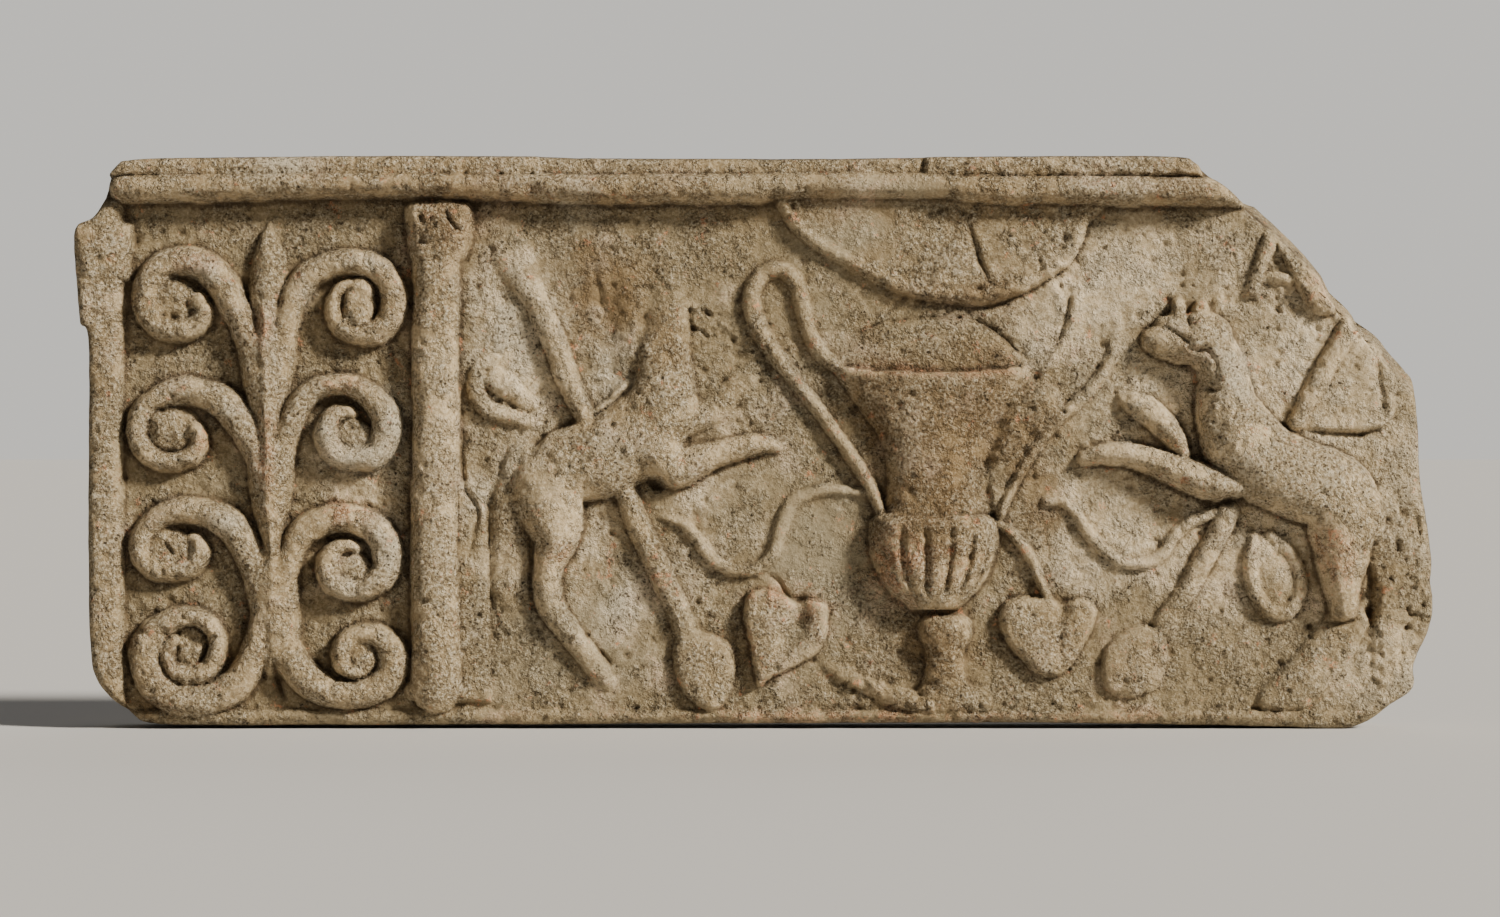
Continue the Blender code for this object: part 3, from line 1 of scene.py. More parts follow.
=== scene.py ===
# Campana relief plaque: one broken slab of fired clay, modelled in relief, worn and crusted with lime.
import math

import bpy
import numpy as np
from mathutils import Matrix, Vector


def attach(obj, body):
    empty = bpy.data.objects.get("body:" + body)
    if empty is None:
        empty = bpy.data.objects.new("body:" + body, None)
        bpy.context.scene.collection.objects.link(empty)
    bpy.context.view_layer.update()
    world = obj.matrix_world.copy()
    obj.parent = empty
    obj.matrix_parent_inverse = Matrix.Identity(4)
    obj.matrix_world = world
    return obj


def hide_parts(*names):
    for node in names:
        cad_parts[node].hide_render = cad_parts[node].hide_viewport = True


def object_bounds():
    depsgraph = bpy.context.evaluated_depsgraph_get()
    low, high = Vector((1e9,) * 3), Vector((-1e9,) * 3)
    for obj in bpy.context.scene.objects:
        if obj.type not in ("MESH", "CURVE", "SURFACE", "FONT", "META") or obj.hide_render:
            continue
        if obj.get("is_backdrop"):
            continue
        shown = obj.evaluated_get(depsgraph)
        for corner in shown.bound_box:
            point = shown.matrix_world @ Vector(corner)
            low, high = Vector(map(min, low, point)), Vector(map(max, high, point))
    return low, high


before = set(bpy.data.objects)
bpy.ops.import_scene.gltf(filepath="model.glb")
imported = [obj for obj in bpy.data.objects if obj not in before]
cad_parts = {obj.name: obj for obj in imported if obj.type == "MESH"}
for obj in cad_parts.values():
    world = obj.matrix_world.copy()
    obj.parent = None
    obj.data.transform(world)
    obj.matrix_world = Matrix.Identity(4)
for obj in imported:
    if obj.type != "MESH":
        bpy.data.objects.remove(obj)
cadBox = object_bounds()
print("frame loaded")


def addObject(name, data):
    made = bpy.data.objects.new(name, data)
    bpy.context.scene.collection.objects.link(made)
    return made


def smoothLine(points, steps, closed=False):
    rows = np.array(points, float)
    if closed:
        rows = np.vstack([rows[-1:], rows, rows[:2]])
    else:
        rows = np.vstack([2 * rows[0] - rows[1], rows, 2 * rows[-1] - rows[-2]])
    t = np.linspace(0, 1, steps, endpoint=False)[:, None]
    parts = []
    for before, start, end, after in zip(rows[:-3], rows[1:-2], rows[2:-1], rows[3:]):
        bend = 2 * before - 5 * start + 4 * end - after
        twist = 3 * start - before - 3 * end + after
        parts.append(0.5 * (2 * start + (end - before) * t + bend * t**2 + twist * t**3))
    parts.append(rows[-2:-1])
    return np.vstack(parts)


def lengthAlong(line):
    return np.concatenate([[0], np.cumsum(np.hypot(*np.diff(line, axis=0).T))])


def evenSteps(line, count):  # the same line as points at equal distances
    run = lengthAlong(line)
    at = np.linspace(0, run[-1], count)
    return np.column_stack([np.interp(at, run, line[:, 0]), np.interp(at, run, line[:, 1])])


def smoothStep(value):
    value = np.clip(value, 0, 1)
    return value * value * (3 - 2 * value)


def clayNoise(x, z, wave, seed):  # smooth noise to both sides of 0; a wave is (wavelength, height)
    table = np.random.default_rng(seed).uniform(-1, 1, (256, 256))
    wavelength, height = wave
    across = x / wavelength + 1000
    up = z / wavelength + 1000
    column = np.floor(across).astype(int)
    row = np.floor(up).astype(int)
    s = across - column
    t = up - row
    s = s * s * s * (s * (s * 6 - 15) + 10)
    t = t * t * t * (t * (t * 6 - 15) + 10)
    low, high = (table[column % 256, level % 256] * (1 - s) + table[(column + 1) % 256, level % 256] * s
                 for level in (row, row + 1))
    return (low * (1 - t) + high * t) * height


def fractalNoise(x, z, wave, octaves, seed, keep=0.5):
    total = np.zeros_like(x)
    for octave in range(octaves):
        turn = 0.7 * octave + 0.4  # each octave is turned, so that no grid shows
        a = x * math.cos(turn) - z * math.sin(turn)
        b = x * math.sin(turn) + z * math.cos(turn)
        total += clayNoise(a, b, (wave[0] / 2**octave, keep**octave), seed + octave)
    return total * wave[1]


def pitNoise(x, z, pits, seed):  # scattered round pits: (cell, share of the cells that hold a pit, depth)
    cell, share, depth = pits
    random = np.random.default_rng(seed)
    shiftX, shiftZ, size, kept = random.uniform(0, 1, (4, 256, 256))
    column = np.floor(x / cell).astype(int)
    row = np.floor(z / cell).astype(int)
    deepest = np.zeros_like(x)
    for stepX in (-1, 0, 1):
        for stepZ in (-1, 0, 1):
            a = (column + stepX) % 256
            b = (row + stepZ) % 256
            atX = (column + stepX + 0.2 + 0.6 * shiftX[a, b]) * cell
            atZ = (row + stepZ + 0.2 + 0.6 * shiftZ[a, b]) * cell
            radius = cell * (0.12 + 0.3 * size[a, b] ** 2)
            away = np.hypot(x - atX, z - atZ) / radius
            pit = (kept[a, b] < share) * np.clip(1 - away**2, 0, 1) * (0.4 + 0.6 * size[a, b])
            deepest = np.maximum(deepest, pit)
    return deepest * depth


def smoothHigher(a, b, blend):  # the higher of two surfaces, with a fillet where they meet
    share = np.clip(0.5 + 0.5 * (a - b) / blend, 0, 1)
    return b + (a - b) * share + blend * share * (1 - share)


def alongStretch(x, z, a, b):  # the share of the way from a to b that lies nearest, and how far off it is
    dx = b[0] - a[0]
    dz = b[1] - a[1]
    share = np.clip(((x - a[0]) * dx + (z - a[1]) * dz) / max(dx * dx + dz * dz, 1e-18), 0, 1)
    return share, np.hypot(x - a[0] - share * dx, z - a[1] - share * dz)


def alongRows(x, z, rows):  # for each stretch of (x, z, half width, rise) rows: how far off, half width, rise
    for a, b in zip(rows[:-1], rows[1:]):
        share, away = alongStretch(x, z, a, b)
        yield away, a[2] + (b[2] - a[2]) * share, a[3] + (b[3] - a[3]) * share


def distanceToLine(x, z, line):
    nearest = np.full(x.shape, np.inf)
    for a, b in zip(line[:-1], line[1:]):
        nearest = np.minimum(nearest, alongStretch(x, z, a, b)[1])
    return nearest


def insideLine(x, z, line):
    inside = np.zeros(x.shape, bool)
    for (ax, az), (bx, bz) in zip(line[:-1], line[1:]):
        if az != bz:
            inside ^= ((az > z) != (bz > z)) & (x < ax + (z - az) * (bx - ax) / (bz - az))
    return inside


def nearLine(x, z, line, reach):  # the points in the box around a line, widened by a reach
    low = line[:, :2].min(axis=0) - reach
    high = line[:, :2].max(axis=0) + reach
    return (x > low[0]) & (x < high[0]) & (z > low[1]) & (z < high[1])


def softened(height, cells):  # the height grid blurred by a box of this many cells, twice
    for axis in (0, 1, 0, 1):
        padded = np.concatenate([np.repeat(height.take([0], axis), cells, axis), height,
                                 np.repeat(height.take([-1], axis), cells, axis)], axis)
        run = np.cumsum(padded, axis)
        run = np.concatenate([np.zeros_like(run.take([0], axis)), run], axis)
        count = height.shape[axis]
        width = 2 * cells + 1
        height = (run.take(range(width, width + count), axis) - run.take(range(count), axis)) / width
    return height


class Drawing:  # a drawing in its own millimetres, laid on the face at an axis and a base line
    steepness = 2.4  # of the flanks below a form's edge
    margin = 4.0  # how far those flanks are followed
    nothing = -1e3  # lower than any clay
    steps = 12  # points along each stretch of a roll
    strays = ((0.011, 0.45), (0.0031, 0.22))  # over what length in metres a hand-drawn line strays how far

    def __init__(self, face, drawnAxis, axis, drawnBase, base, unit, riseUnit):
        self.face = face
        self.x = drawnAxis + (face["x"] - axis) / unit + self.stray(41, 43)
        self.z = drawnBase + (face["z"] - base) / unit + self.stray(47, 53)
        self.riseUnit = riseUnit

    def stray(self, *seeds):
        x, z = self.face["x"], self.face["z"]
        return sum(clayNoise(x, z, wave, seed) for wave, seed in zip(self.strays, seeds))

    def lay(self, spot, value, blend):
        rise = self.face["rise"]
        rise[spot] = smoothHigher(value * self.riseUnit, rise[spot], blend * self.riseUnit)

    def swept(self, spot, line, fullness):  # a roll of clay along (x, z, half width, rise) rows
        x, z = self.x[spot], self.z[spot]
        best = np.full(x.shape, self.nothing)
        for start in range(0, len(line) - 1, self.steps):
            piece = line[start:start + self.steps + 1]
            close = nearLine(x, z, piece, piece[:, 2].max() + self.margin)
            found = best[close]
            for away, half, rise in alongRows(x[close], z[close], piece):
                share = away / half
                crown = rise * np.sqrt(np.clip(1 - share**fullness, 0, 1))
                found = np.maximum(found, np.where(share < 1, crown, (half - away) * self.steepness))
            best[close] = found
        return best

    def limbs(self, rolls, fullness=2.0, blend=1.0, soften=3.0):  # several rolls melted into one body
        lines = [smoothLine(points, self.steps) for points in rolls]
        every = np.vstack(lines)
        spot = nearLine(self.x, self.z, every, every[:, 2].max() + self.margin)
        body = self.swept(spot, lines[0], fullness)
        for line in lines[1:]:
            body = smoothHigher(self.swept(spot, line, fullness), body, soften)
        self.lay(spot, body, blend)

    def roll(self, points, fullness=2.0, blend=1.0):
        self.limbs([points], fullness, blend)

    def plate(self, outline, rise, edge, crown=0.0, blend=0.8, smooth=True):  # flat, with a rounded edge
        line = smoothLine(outline, 6, closed=True) if smooth else np.array([*outline, outline[0]], float)
        spot = nearLine(self.x, self.z, line, self.margin)
        x, z = self.x[spot], self.z[spot]
        away = distanceToLine(x, z, line)
        inward = np.where(insideLine(x, z, line), away, -away)
        share = np.clip(inward / edge, 0, 1)
        top = rise * np.sqrt(np.clip(1 - (1 - share) ** 2, 0, 1))
        top += crown * (1 - np.exp(-np.maximum(inward, 0) / (2 * edge)))
        self.lay(spot, np.where(inward > 0, top, inward * self.steepness), blend)

    # half of a turned form from (z, half width, rise) rows; its upper rim sags in the middle by the bow
    def turned(self, profile, axis, blend=0.8, ribs=None, bow=0.0):
        rows = smoothLine(profile, 6)[::-1]
        low, high, wide = rows[0, 0], rows[-1, 0], rows[:, 1].max()
        spot = np.abs(self.x - axis) < wide + self.margin
        spot &= (self.z > low - self.margin) & (self.z < high + self.margin)
        x, z = self.x[spot] - axis, self.z[spot]
        level = np.clip((z - low) / (high - low), 0, 1)
        z = z + bow * level * (1 - (x / wide) ** 2)
        half = np.interp(z, rows[:, 0], rows[:, 1])
        share = np.clip(np.abs(x) / half, 0, 1)
        top = np.interp(z, rows[:, 0], rows[:, 2]) * np.sqrt(1 - share**2.2)
        if ribs is not None:
            top -= ribs(np.arcsin(np.clip(x / half, -1, 1)), z)
        past = np.maximum(np.maximum(low - z, z - high), np.abs(x) - half)
        self.lay(spot, np.where(past < 0, top, -past * self.steepness), blend)

    def groove(self, points):  # (x, z, half width, depth) rows
        line = smoothLine(points, 5)
        spot = nearLine(self.x, self.z, line, 2.5 * line[:, 2].max())
        cut = 0
        for away, half, depth in alongRows(self.x[spot], self.z[spot], line):
            cut = np.maximum(cut, depth * np.exp(-((away / half) ** 2)))
        self.face["rise"][spot] -= cut * self.riseUnit

    def dent(self, x, z, radius, depth):
        away = np.hypot(self.x - x, self.z - z) / radius
        self.face["rise"] -= depth * self.riseUnit * np.exp(-(away**3))

    def patch(self, x, z, reachX, reachZ, strength):
        return strength * np.exp(-(((self.x - x) / reachX) ** 2 + ((self.z - z) / reachZ) ** 2))

    def swell(self, *row):  # a broad, soft rise or sinking
        self.face["rise"] += self.patch(*row) * self.riseUnit

    def stain(self, spots):  # 0 to 1 over soft patches of (x, z, reach across, reach up, strength)
        cover = np.zeros_like(self.x)
        for row in spots:
            cover = np.maximum(cover, self.patch(*row))
        return cover


# The slab. Sizes are in metres, and the broken outline in millimetres from the middle of the face.
slab = dict(
    width=0.5208,
    height=0.219,
    thickness=0.034,
    edgeRounding=0.0042,
    ledgeHeight=0.007,
    ledgeRise=0.0022,
    drawnWidth=520.8,
    drawnHeight=219.0,
    drawnField=(-102.0, 91.0),
    drawnRise=15.0,
    figureRise=0.015,
    vesselAt=0.485,  # the vessel's axis, as a share of the way from the column to the right end
    gridStep=0.00078,
    wallRings=12,
    backStep=4,
    backDip=0.0004,
    backWave=(0.03, 1),
    mostTriangles=186000,
    leftSide=(
        (-240, -103), (-247, -97), (-252, -90), (-254, -80), (-255, -50), (-255, 0), (-255, 40), (-258, 46),
        (-259.5, 62), (-260.4, 76), (-259, 83), (-254, 85.5), (-251, 89), (-248.5, 96), (-247, 102),
        (-242, 107.5),
    ),
    bottomSide=(
        (-240, -103), (-232, -107.5), (-205, -108.3), (-120, -108.2), (-40, -107.8), (40, -107.6),
        (100, -107.4), (150, -107.9), (185, -108.6), (215, -109.5), (227, -109.4), (235, -106.7),
        (240.5, -103),
    ),
    rightSide=(
        (240.5, -103), (246, -99), (251, -96), (253, -92), (252.8, -86), (255, -80), (258, -73),
        (260.4, -62), (259.3, -54), (260, -45), (258, -30), (255.5, -14), (254.7, 4), (253, 18), (249, 24),
        (242.5, 31.5), (238, 37), (231, 41), (227, 47.5), (220.7, 52.5), (215.7, 62),
    ),
    topSide=(
        (-242, 107.5), (-225, 108.6), (-150, 109.5), (-82, 109.3), (-60, 108.8), (20, 108.6), (62, 109),
        (120, 109.5), (160, 109.2), (168, 107), (176, 101), (184, 94), (190, 88), (198.5, 80.4), (208, 71),
        (215.7, 62),
    ),
)
cornice = dict(
    filletHeight=0.0062,
    filletRise=0.0085,
    torusHeight=0.0122,
    torusRise=0.0122,
    ledge=(
        ("left", -4, "foot", -4), ("right", 4, "foot", -4), ("right", 4, "field", 0),
        ("left", -4, "field", 0),
    ),
    fillets=((-250.4, -80, 1), (-84, 68, 0.62), (64, 172, 1)),  # (from, to, rise share), broken in the middle
    # (x, lift, width share, rise share) along the round moulding, smoother and lower where it was mended
    torus=(
        (-243, 0.4, 0.6, 0.55), (-236, 0, 1, 0.9), (-180, 1.2, 0.92, 1), (-110, 1.4, 0.9, 1),
        (-60, 0, 1, 0.98), (-2, 0.2, 1, 0.94), (8, 1, 0.9, 0.84), (40, 1.3, 0.9, 0.82), (74, 1.1, 0.92, 0.86),
        (84, -0.3, 1.02, 1), (120, -0.4, 1.04, 1), (158, -1, 1.02, 0.98), (178, -1.6, 0.9, 0.84),
        (187, -4, 0.6, 0.5),
    ),
)
pilaster = dict(
    width=0.019,
    rise=0.006,
    shaft=(
        ("left", -6, "field", -10), ("inner", 0, "field", -10), ("inner", 0, "torus", 2),
        ("left", -6, "torus", 2),
    ),
    block=(
        ("left", -6, "torus", -30), ("inner", 2, "torus", -30), ("inner", 3.5, "torus", -7),
        ("left", -6, "torus", -5),
    ),
)
column = dict(
    panelWidth=0.11,
    width=0.019,
    rise=0.010,
    capitalHeight=0.019,
    stripRise=0.0028,
    drawnAxis=-121.9,
    # rolls have the shares of the half width and of the rise too
    shaft=(
        ("axis", 0, "field", 8.5, 1.06, 0.9), ("axis", 0, "field", 18.5, 1.04, 1),
        ("axis", -0.6, "middle", -40, 1, 1), ("axis", -0.4, "middle", 10, 0.97, 1),
        ("axis", 0, "neck", 0, 0.97, 1), ("axis", 0, "neck", 8, 0.94, 1),
    ),
    strip=(
        ("end", -4, "field", 2.5), ("end", 11.5, "field", 2.5), ("end", 10, "middle", -15),
        ("end", -4, "middle", -14),
    ),
    foot=(
        ("start", -1, "field", 3.5), ("end", 1, "field", 3.5), ("end", 0, "field", 10.5),
        ("start", 0, "field", 11.5),
    ),
    capital=(
        ("start", 1, "neck", -4), ("axis", 0, "neck", -4), ("end", 0, "neck", -3), ("end", 4, "neck", 6),
        ("end", 3, "torus", 1), ("start", -0.5, "torus", 1), ("start", -2, "neck", 8),
    ),
)

# The frame's own lines in metres, worked out from those sizes.
left = -slab["width"] / 2
top = slab["height"] / 2
torusTop = top - cornice["filletHeight"]
torusBottom = torusTop - cornice["torusHeight"]
fieldBottom = -top + slab["ledgeHeight"]
pilasterRight = left + pilaster["width"]
columnLeft = pilasterRight + column["panelWidth"]
columnRight = columnLeft + column["width"]
stemAxis = (pilasterRight + columnLeft) / 2
columnAxis = (columnLeft + columnRight) / 2
vaseAxis = columnRight + slab["vesselAt"] * (slab["width"] / 2 - columnRight)
across = 1000 * slab["width"] / slab["drawnWidth"]
lines = dict(left=left, inner=pilasterRight, start=columnLeft, axis=columnAxis, end=columnRight, right=-left,
             foot=-top, field=fieldBottom, middle=0, neck=torusBottom - column["capitalHeight"],
             torus=torusBottom)


# The frame is drawn in millimetres: its rows are (edge, x off it, level, z off it).
def placed(rows):
    return [(1000 * lines[edge] + x, 1000 * lines[level] + z, *rest) for edge, x, level, z, *rest in rows]


def layFrame(sheet):
    sheet.plate(placed(cornice["ledge"]), rise=1000 * slab["ledgeRise"], edge=2.5, blend=1.5, smooth=False)
    low, high = 1000 * torusTop - 2, 1000 * top + 4
    for start, end, share in cornice["fillets"]:
        start, end = start * across, end * across
        fillet = [(start, low), (end, low), (end - 3, high), (start, high)]
        sheet.plate(fillet, rise=1000 * cornice["filletRise"] * share, edge=2.2, blend=1.0, smooth=False)
    middle = 500 * (torusTop + torusBottom)
    half, rise = 500 * cornice["torusHeight"], 1000 * cornice["torusRise"]
    torus = [(x * across, middle + lift, half * wide, rise * tall)
             for x, lift, wide, tall in cornice["torus"]]
    sheet.roll(torus, fullness=2.3, blend=1.2)


def layPilaster(sheet):
    rise = 1000 * pilaster["rise"]
    sheet.plate(placed(pilaster["shaft"]), rise=rise, edge=6.0, blend=2.0, smooth=False)
    sheet.plate(placed(pilaster["block"]), rise=rise * 1.12, edge=6.0, blend=3.0, smooth=False)


def layColumn(sheet):
    half, rise = 500 * column["width"], 1000 * column["rise"]
    shaft = [(x, z, half * wide, rise * tall) for x, z, wide, tall in placed(column["shaft"])]
    strip = placed(column["strip"])
    sheet.plate(strip, rise=1000 * column["stripRise"], edge=3.0, blend=1.0, smooth=False)
    sheet.roll(shaft, fullness=2.5, blend=1.0)
    sheet.plate(placed(column["foot"]), rise=rise * 0.6, edge=6.0, blend=4.0)
    sheet.plate(placed(column["capital"]), rise=rise * 1.08, edge=8.0, blend=4.0)


# Rolled shoots either side of a stem. Rolls are (x, z, half width, rise), slits (x, z, half width, depth).
scrollTree = dict(
    drawnStem=-186.0,
    trunks=(
        ((-185.4, 0, 4.4, 8.8), (-186, 10, 5.6, 9), (-186.8, 20, 8.4, 9.2), (-186.4, 30, 10.8, 9.2),
         (-186.2, 38, 10.6, 8.6)),
        ((-183.6, -45, 3.4, 8.6), (-184, -38, 4.4, 8.8), (-184.6, -30, 5.8, 9), (-185, -20, 8.2, 9),
         (-185.2, -10, 9, 9), (-185.2, -2, 7, 8.6)),
        ((-182.6, -80, 8.6, 7.4), (-182.8, -70, 9.2, 8.4), (-184, -60, 9.8, 8.8), (-184.8, -51, 10.4, 8.6),
         (-184.6, -44, 7, 8)),
    ),
    stem=(
        (-183.4, -80, 5, 7), (-183.6, -60, 4.6, 8.6), (-184, -40, 4.2, 8.8), (-185, -15, 3.8, 9.2),
        (-186.2, 10, 4, 9.4), (-186.6, 32, 3.8, 9.6), (-186.4, 50, 4.6, 9),
    ),
    budSpear=(
        (-186, 42, 4.6, 7.6), (-186, 52, 6.4, 7.6), (-185.8, 61, 7.4, 7.2), (-185.6, 68, 7, 6.4),
        (-185.5, 75, 4.8, 5), (-185.6, 81, 2.2, 3), (-185.6, 85, 0.8, 1),
    ),
    leftShoots=(
        ((-188, 6, 3, 4), (-189.6, 17, 4.2, 5.4), (-191.8, 28, 5, 6.6), (-193.8, 39, 5.4, 7.6),
         (-198, 51, 6.2, 8.4), (-205.5, 63.5, 6.4, 8.6), (-215, 69.2, 5.9, 8.4), (-224.6, 68.4, 5.8, 8),
         (-231.4, 62, 5.8, 7.8), (-232.6, 53.5, 5.8, 7.8), (-229.6, 46, 5.2, 7.6), (-222.5, 42.6, 4.8, 7.6),
         (-214.2, 44, 4.5, 7.6), (-210.4, 49.6, 4, 7.4), (-212.2, 54.6, 3.6, 7)),
        ((-187, -30, 3, 4), (-188, -18, 4.6, 5.8), (-189.5, -7, 5, 7.2), (-193, 3, 6.4, 8.2),
         (-199.4, 12, 6.8, 8.6), (-208.6, 18.4, 6.2, 8.5), (-218.6, 19.8, 5.6, 8.2), (-228, 17.4, 5, 8),
         (-234.4, 11, 4.6, 7.8), (-235.4, 2.4, 4.5, 7.8), (-232, -4.2, 4.3, 7.8), (-224.6, -7.4, 4.1, 7.6),
         (-216.6, -5.8, 4.3, 7.6), (-212.2, -0.4, 4, 7.6), (-213.4, 5, 3.4, 7)),
        ((-187, -72, 3, 4), (-188, -62, 5, 5.8), (-190, -51, 5.6, 7.2), (-193.8, -40.5, 6.2, 8.2),
         (-200.2, -31.4, 6.5, 8.6), (-209.8, -26.6, 5.5, 8.4), (-220, -26.2, 5, 8.2),
         (-228.4, -29.2, 4.8, 8), (-234, -35.5, 4.7, 7.8), (-234.4, -42.4, 4.7, 7.8),
         (-230.2, -47.4, 4.5, 7.6), (-223, -49, 4.4, 7.6), (-215.4, -47.4, 4.4, 7.6), (-211.6, -42, 4, 7.4),
         (-213.6, -37, 3.3, 7)),
        ((-187, -58, 4, 6.5), (-188.6, -70, 5, 7.4), (-191.5, -82, 6, 8), (-198, -91.8, 6.4, 8),
         (-208, -97.2, 6.6, 7.8), (-219.5, -97.8, 6.6, 7.8), (-229, -92.4, 6.8, 7.8), (-233, -83, 6.6, 7.6),
         (-230.6, -73.6, 6, 7.6), (-223, -67.8, 5, 7.4), (-214.5, -66, 4, 7.2), (-207.8, -69.4, 3.9, 7.2),
         (-205.4, -77, 3.9, 7.2), (-208, -84.6, 4.2, 7), (-214.6, -89.4, 4.2, 6.8),
         (-221.6, -86.6, 3.8, 6.6), (-224.4, -80, 3.2, 6.2), (-221.6, -75, 2.4, 5.6)),
    ),
    rightShoots=(
        ((-182, 24, 3.6, 6), (-180.4, 39, 5, 7.2), (-177.6, 52, 5.6, 8), (-172, 62.6, 5.6, 8.4),
         (-163, 67.8, 5.2, 8.4), (-153, 69.2, 5.1, 8.4), (-144, 66.4, 5.3, 8.4), (-138.6, 58.5, 5.5, 8.4),
         (-138.8, 49, 5.4, 8.2), (-144, 42.6, 5, 8), (-151.6, 41, 4.4, 7.8), (-158.2, 44.6, 4.2, 7.6),
         (-161, 51.5, 3.8, 7.4), (-159, 58, 3, 6.8), (-154.6, 61.2, 2.2, 6)),
        ((-183, -24, 3.6, 6), (-181.5, -10, 4.6, 7), (-179, 3, 5.2, 7.8), (-175.2, 12.8, 5.2, 8.4),
         (-168, 20.2, 4.7, 8.6), (-158, 22.4, 4.3, 8.4), (-148.6, 19.2, 4.9, 8.4), (-142, 12, 5.8, 8.6),
         (-140.9, 3, 5.8, 8.4), (-145.2, -4, 5.4, 8.4), (-153.6, -6, 5, 8.4), (-161.2, -2.6, 5.4, 8.8),
         (-163.4, 4, 5.4, 8.8), (-161.2, 10, 4, 8.4), (-156.4, 12.4, 2.8, 7.6), (-153.4, 11.4, 1.8, 6.4)),
        ((-181.8, -74, 3.6, 6), (-180.8, -60, 4.8, 7), (-178.6, -47, 5.2, 7.8), (-174.6, -36.2, 5.6, 8.4),
         (-166.5, -30.2, 5.9, 8.6), (-156, -29, 5.6, 8.6), (-146.6, -32, 5.8, 8.6), (-140.8, -39.5, 6, 8.6),
         (-140.6, -48, 5.8, 8.4), (-146, -54.4, 5, 8.4), (-154, -56.4, 4.5, 8.4), (-161.2, -53, 5.1, 8.6),
         (-163, -46.5, 5.1, 8.6), (-160.4, -41, 3.8, 8.2), (-155.4, -39, 2.7, 7.6), (-151.6, -39.8, 2, 6.6)),
        ((-183, -60, 4, 6), (-181, -72, 5.4, 7.2), (-176.5, -83.5, 6.4, 8), (-168, -92.4, 6.6, 8),
         (-157.5, -96.2, 6, 8), (-146.5, -94.4, 6, 7.8), (-139, -88, 6.2, 7.8), (-138.6, -79.5, 5.8, 7.8),
         (-143.6, -73.8, 4.5, 7.8), (-151.5, -73.2, 4.2, 7.8), (-157.2, -77.6, 4.7, 7.8),
         (-157.4, -83.6, 4.4, 7.4), (-153.2, -87, 3, 7), (-149.4, -87, 2.2, 6.2)),
    ),
    hearts=(
        ((-222.6, 54.6, 8.8, 5.2), (-218.4, 52.6, 8, 5)), ((-224.5, 6, 9.6, 4.8), (-220.4, 5, 9, 4.8)),
        ((-224.8, 6.2, 6.6, 6), (-224.2, 6, 6.6, 6)), ((-224, -40.6, 8.8, 5.4), (-219.6, -41.6, 8, 5.2)),
        ((-215.5, -75, 5.5, 3.2), (-216.5, -82, 5.5, 4)), ((-151.2, 58, 5.6, 7.6), (-151.6, 49, 6.6, 7.6)),
        ((-154.5, 5, 6, 4.4), (-151, 2, 6.4, 4.6)), ((-154, -47, 6.4, 4.4), (-151.6, -49, 6, 4.6)),
        ((-149.6, -79.6, 5.6, 5.2), (-149, -83, 5.4, 5.8)),
    ),
    slits=(
        ((-183, -82.5, 0.6, 1.5), (-182.6, -87.5, 1.1, 3.6), (-181.6, -93, 1.5, 4), (-180, -97, 1.2, 2)),
        ((-216.8, 57.4, 0.7, 0.8), (-217, 53.6, 0.9, 1.6), (-215.6, 50, 0.8, 1)),
        ((-224.8, 57.2, 0.6, 0.5), (-225.8, 54, 0.8, 1), (-225.2, 51, 0.6, 0.5)),
        ((-217.6, 9.6, 0.8, 0.9), (-217.2, 6, 0.9, 1.4), (-218.2, 2, 0.8, 0.8)),
        ((-225, -38.4, 0.7, 1), (-223.4, -40.8, 0.9, 2), (-222, -42.6, 0.7, 1)),
        ((-222.8, -80.6, 0.7, 1), (-221.4, -83.2, 0.9, 1.8), (-220, -85.6, 0.7, 1)),
        ((-231.4, 62.6, 0.5, 0.8), (-225, 63.8, 0.6, 1.4), (-218, 65.2, 0.7, 1.2)),
        ((-148.8, 73, 0.6, 0.8), (-147.4, 69, 0.8, 1.4), (-145.6, 65, 0.7, 1)),
        ((-150.6, -38.4, 1.4, 1.4), (-149, -41, 1.6, 1.8), (-147.6, -43.6, 1.2, 0.8)),
    ),
)


def layScrollTree(panel):
    for heart in scrollTree["hearts"]:
        panel.roll(heart, fullness=3.0, blend=1.0)
    for shoot in scrollTree["rightShoots"] + scrollTree["leftShoots"]:
        panel.roll(shoot, fullness=2.1, blend=1.6)
    for trunk in scrollTree["trunks"]:
        panel.roll(trunk, fullness=1.4, blend=2.0)
    panel.roll(scrollTree["stem"], fullness=1.6, blend=1.5)
    panel.roll(scrollTree["budSpear"], fullness=1.5, blend=0.8)
    for slit in scrollTree["slits"]:
        panel.groove(slit)


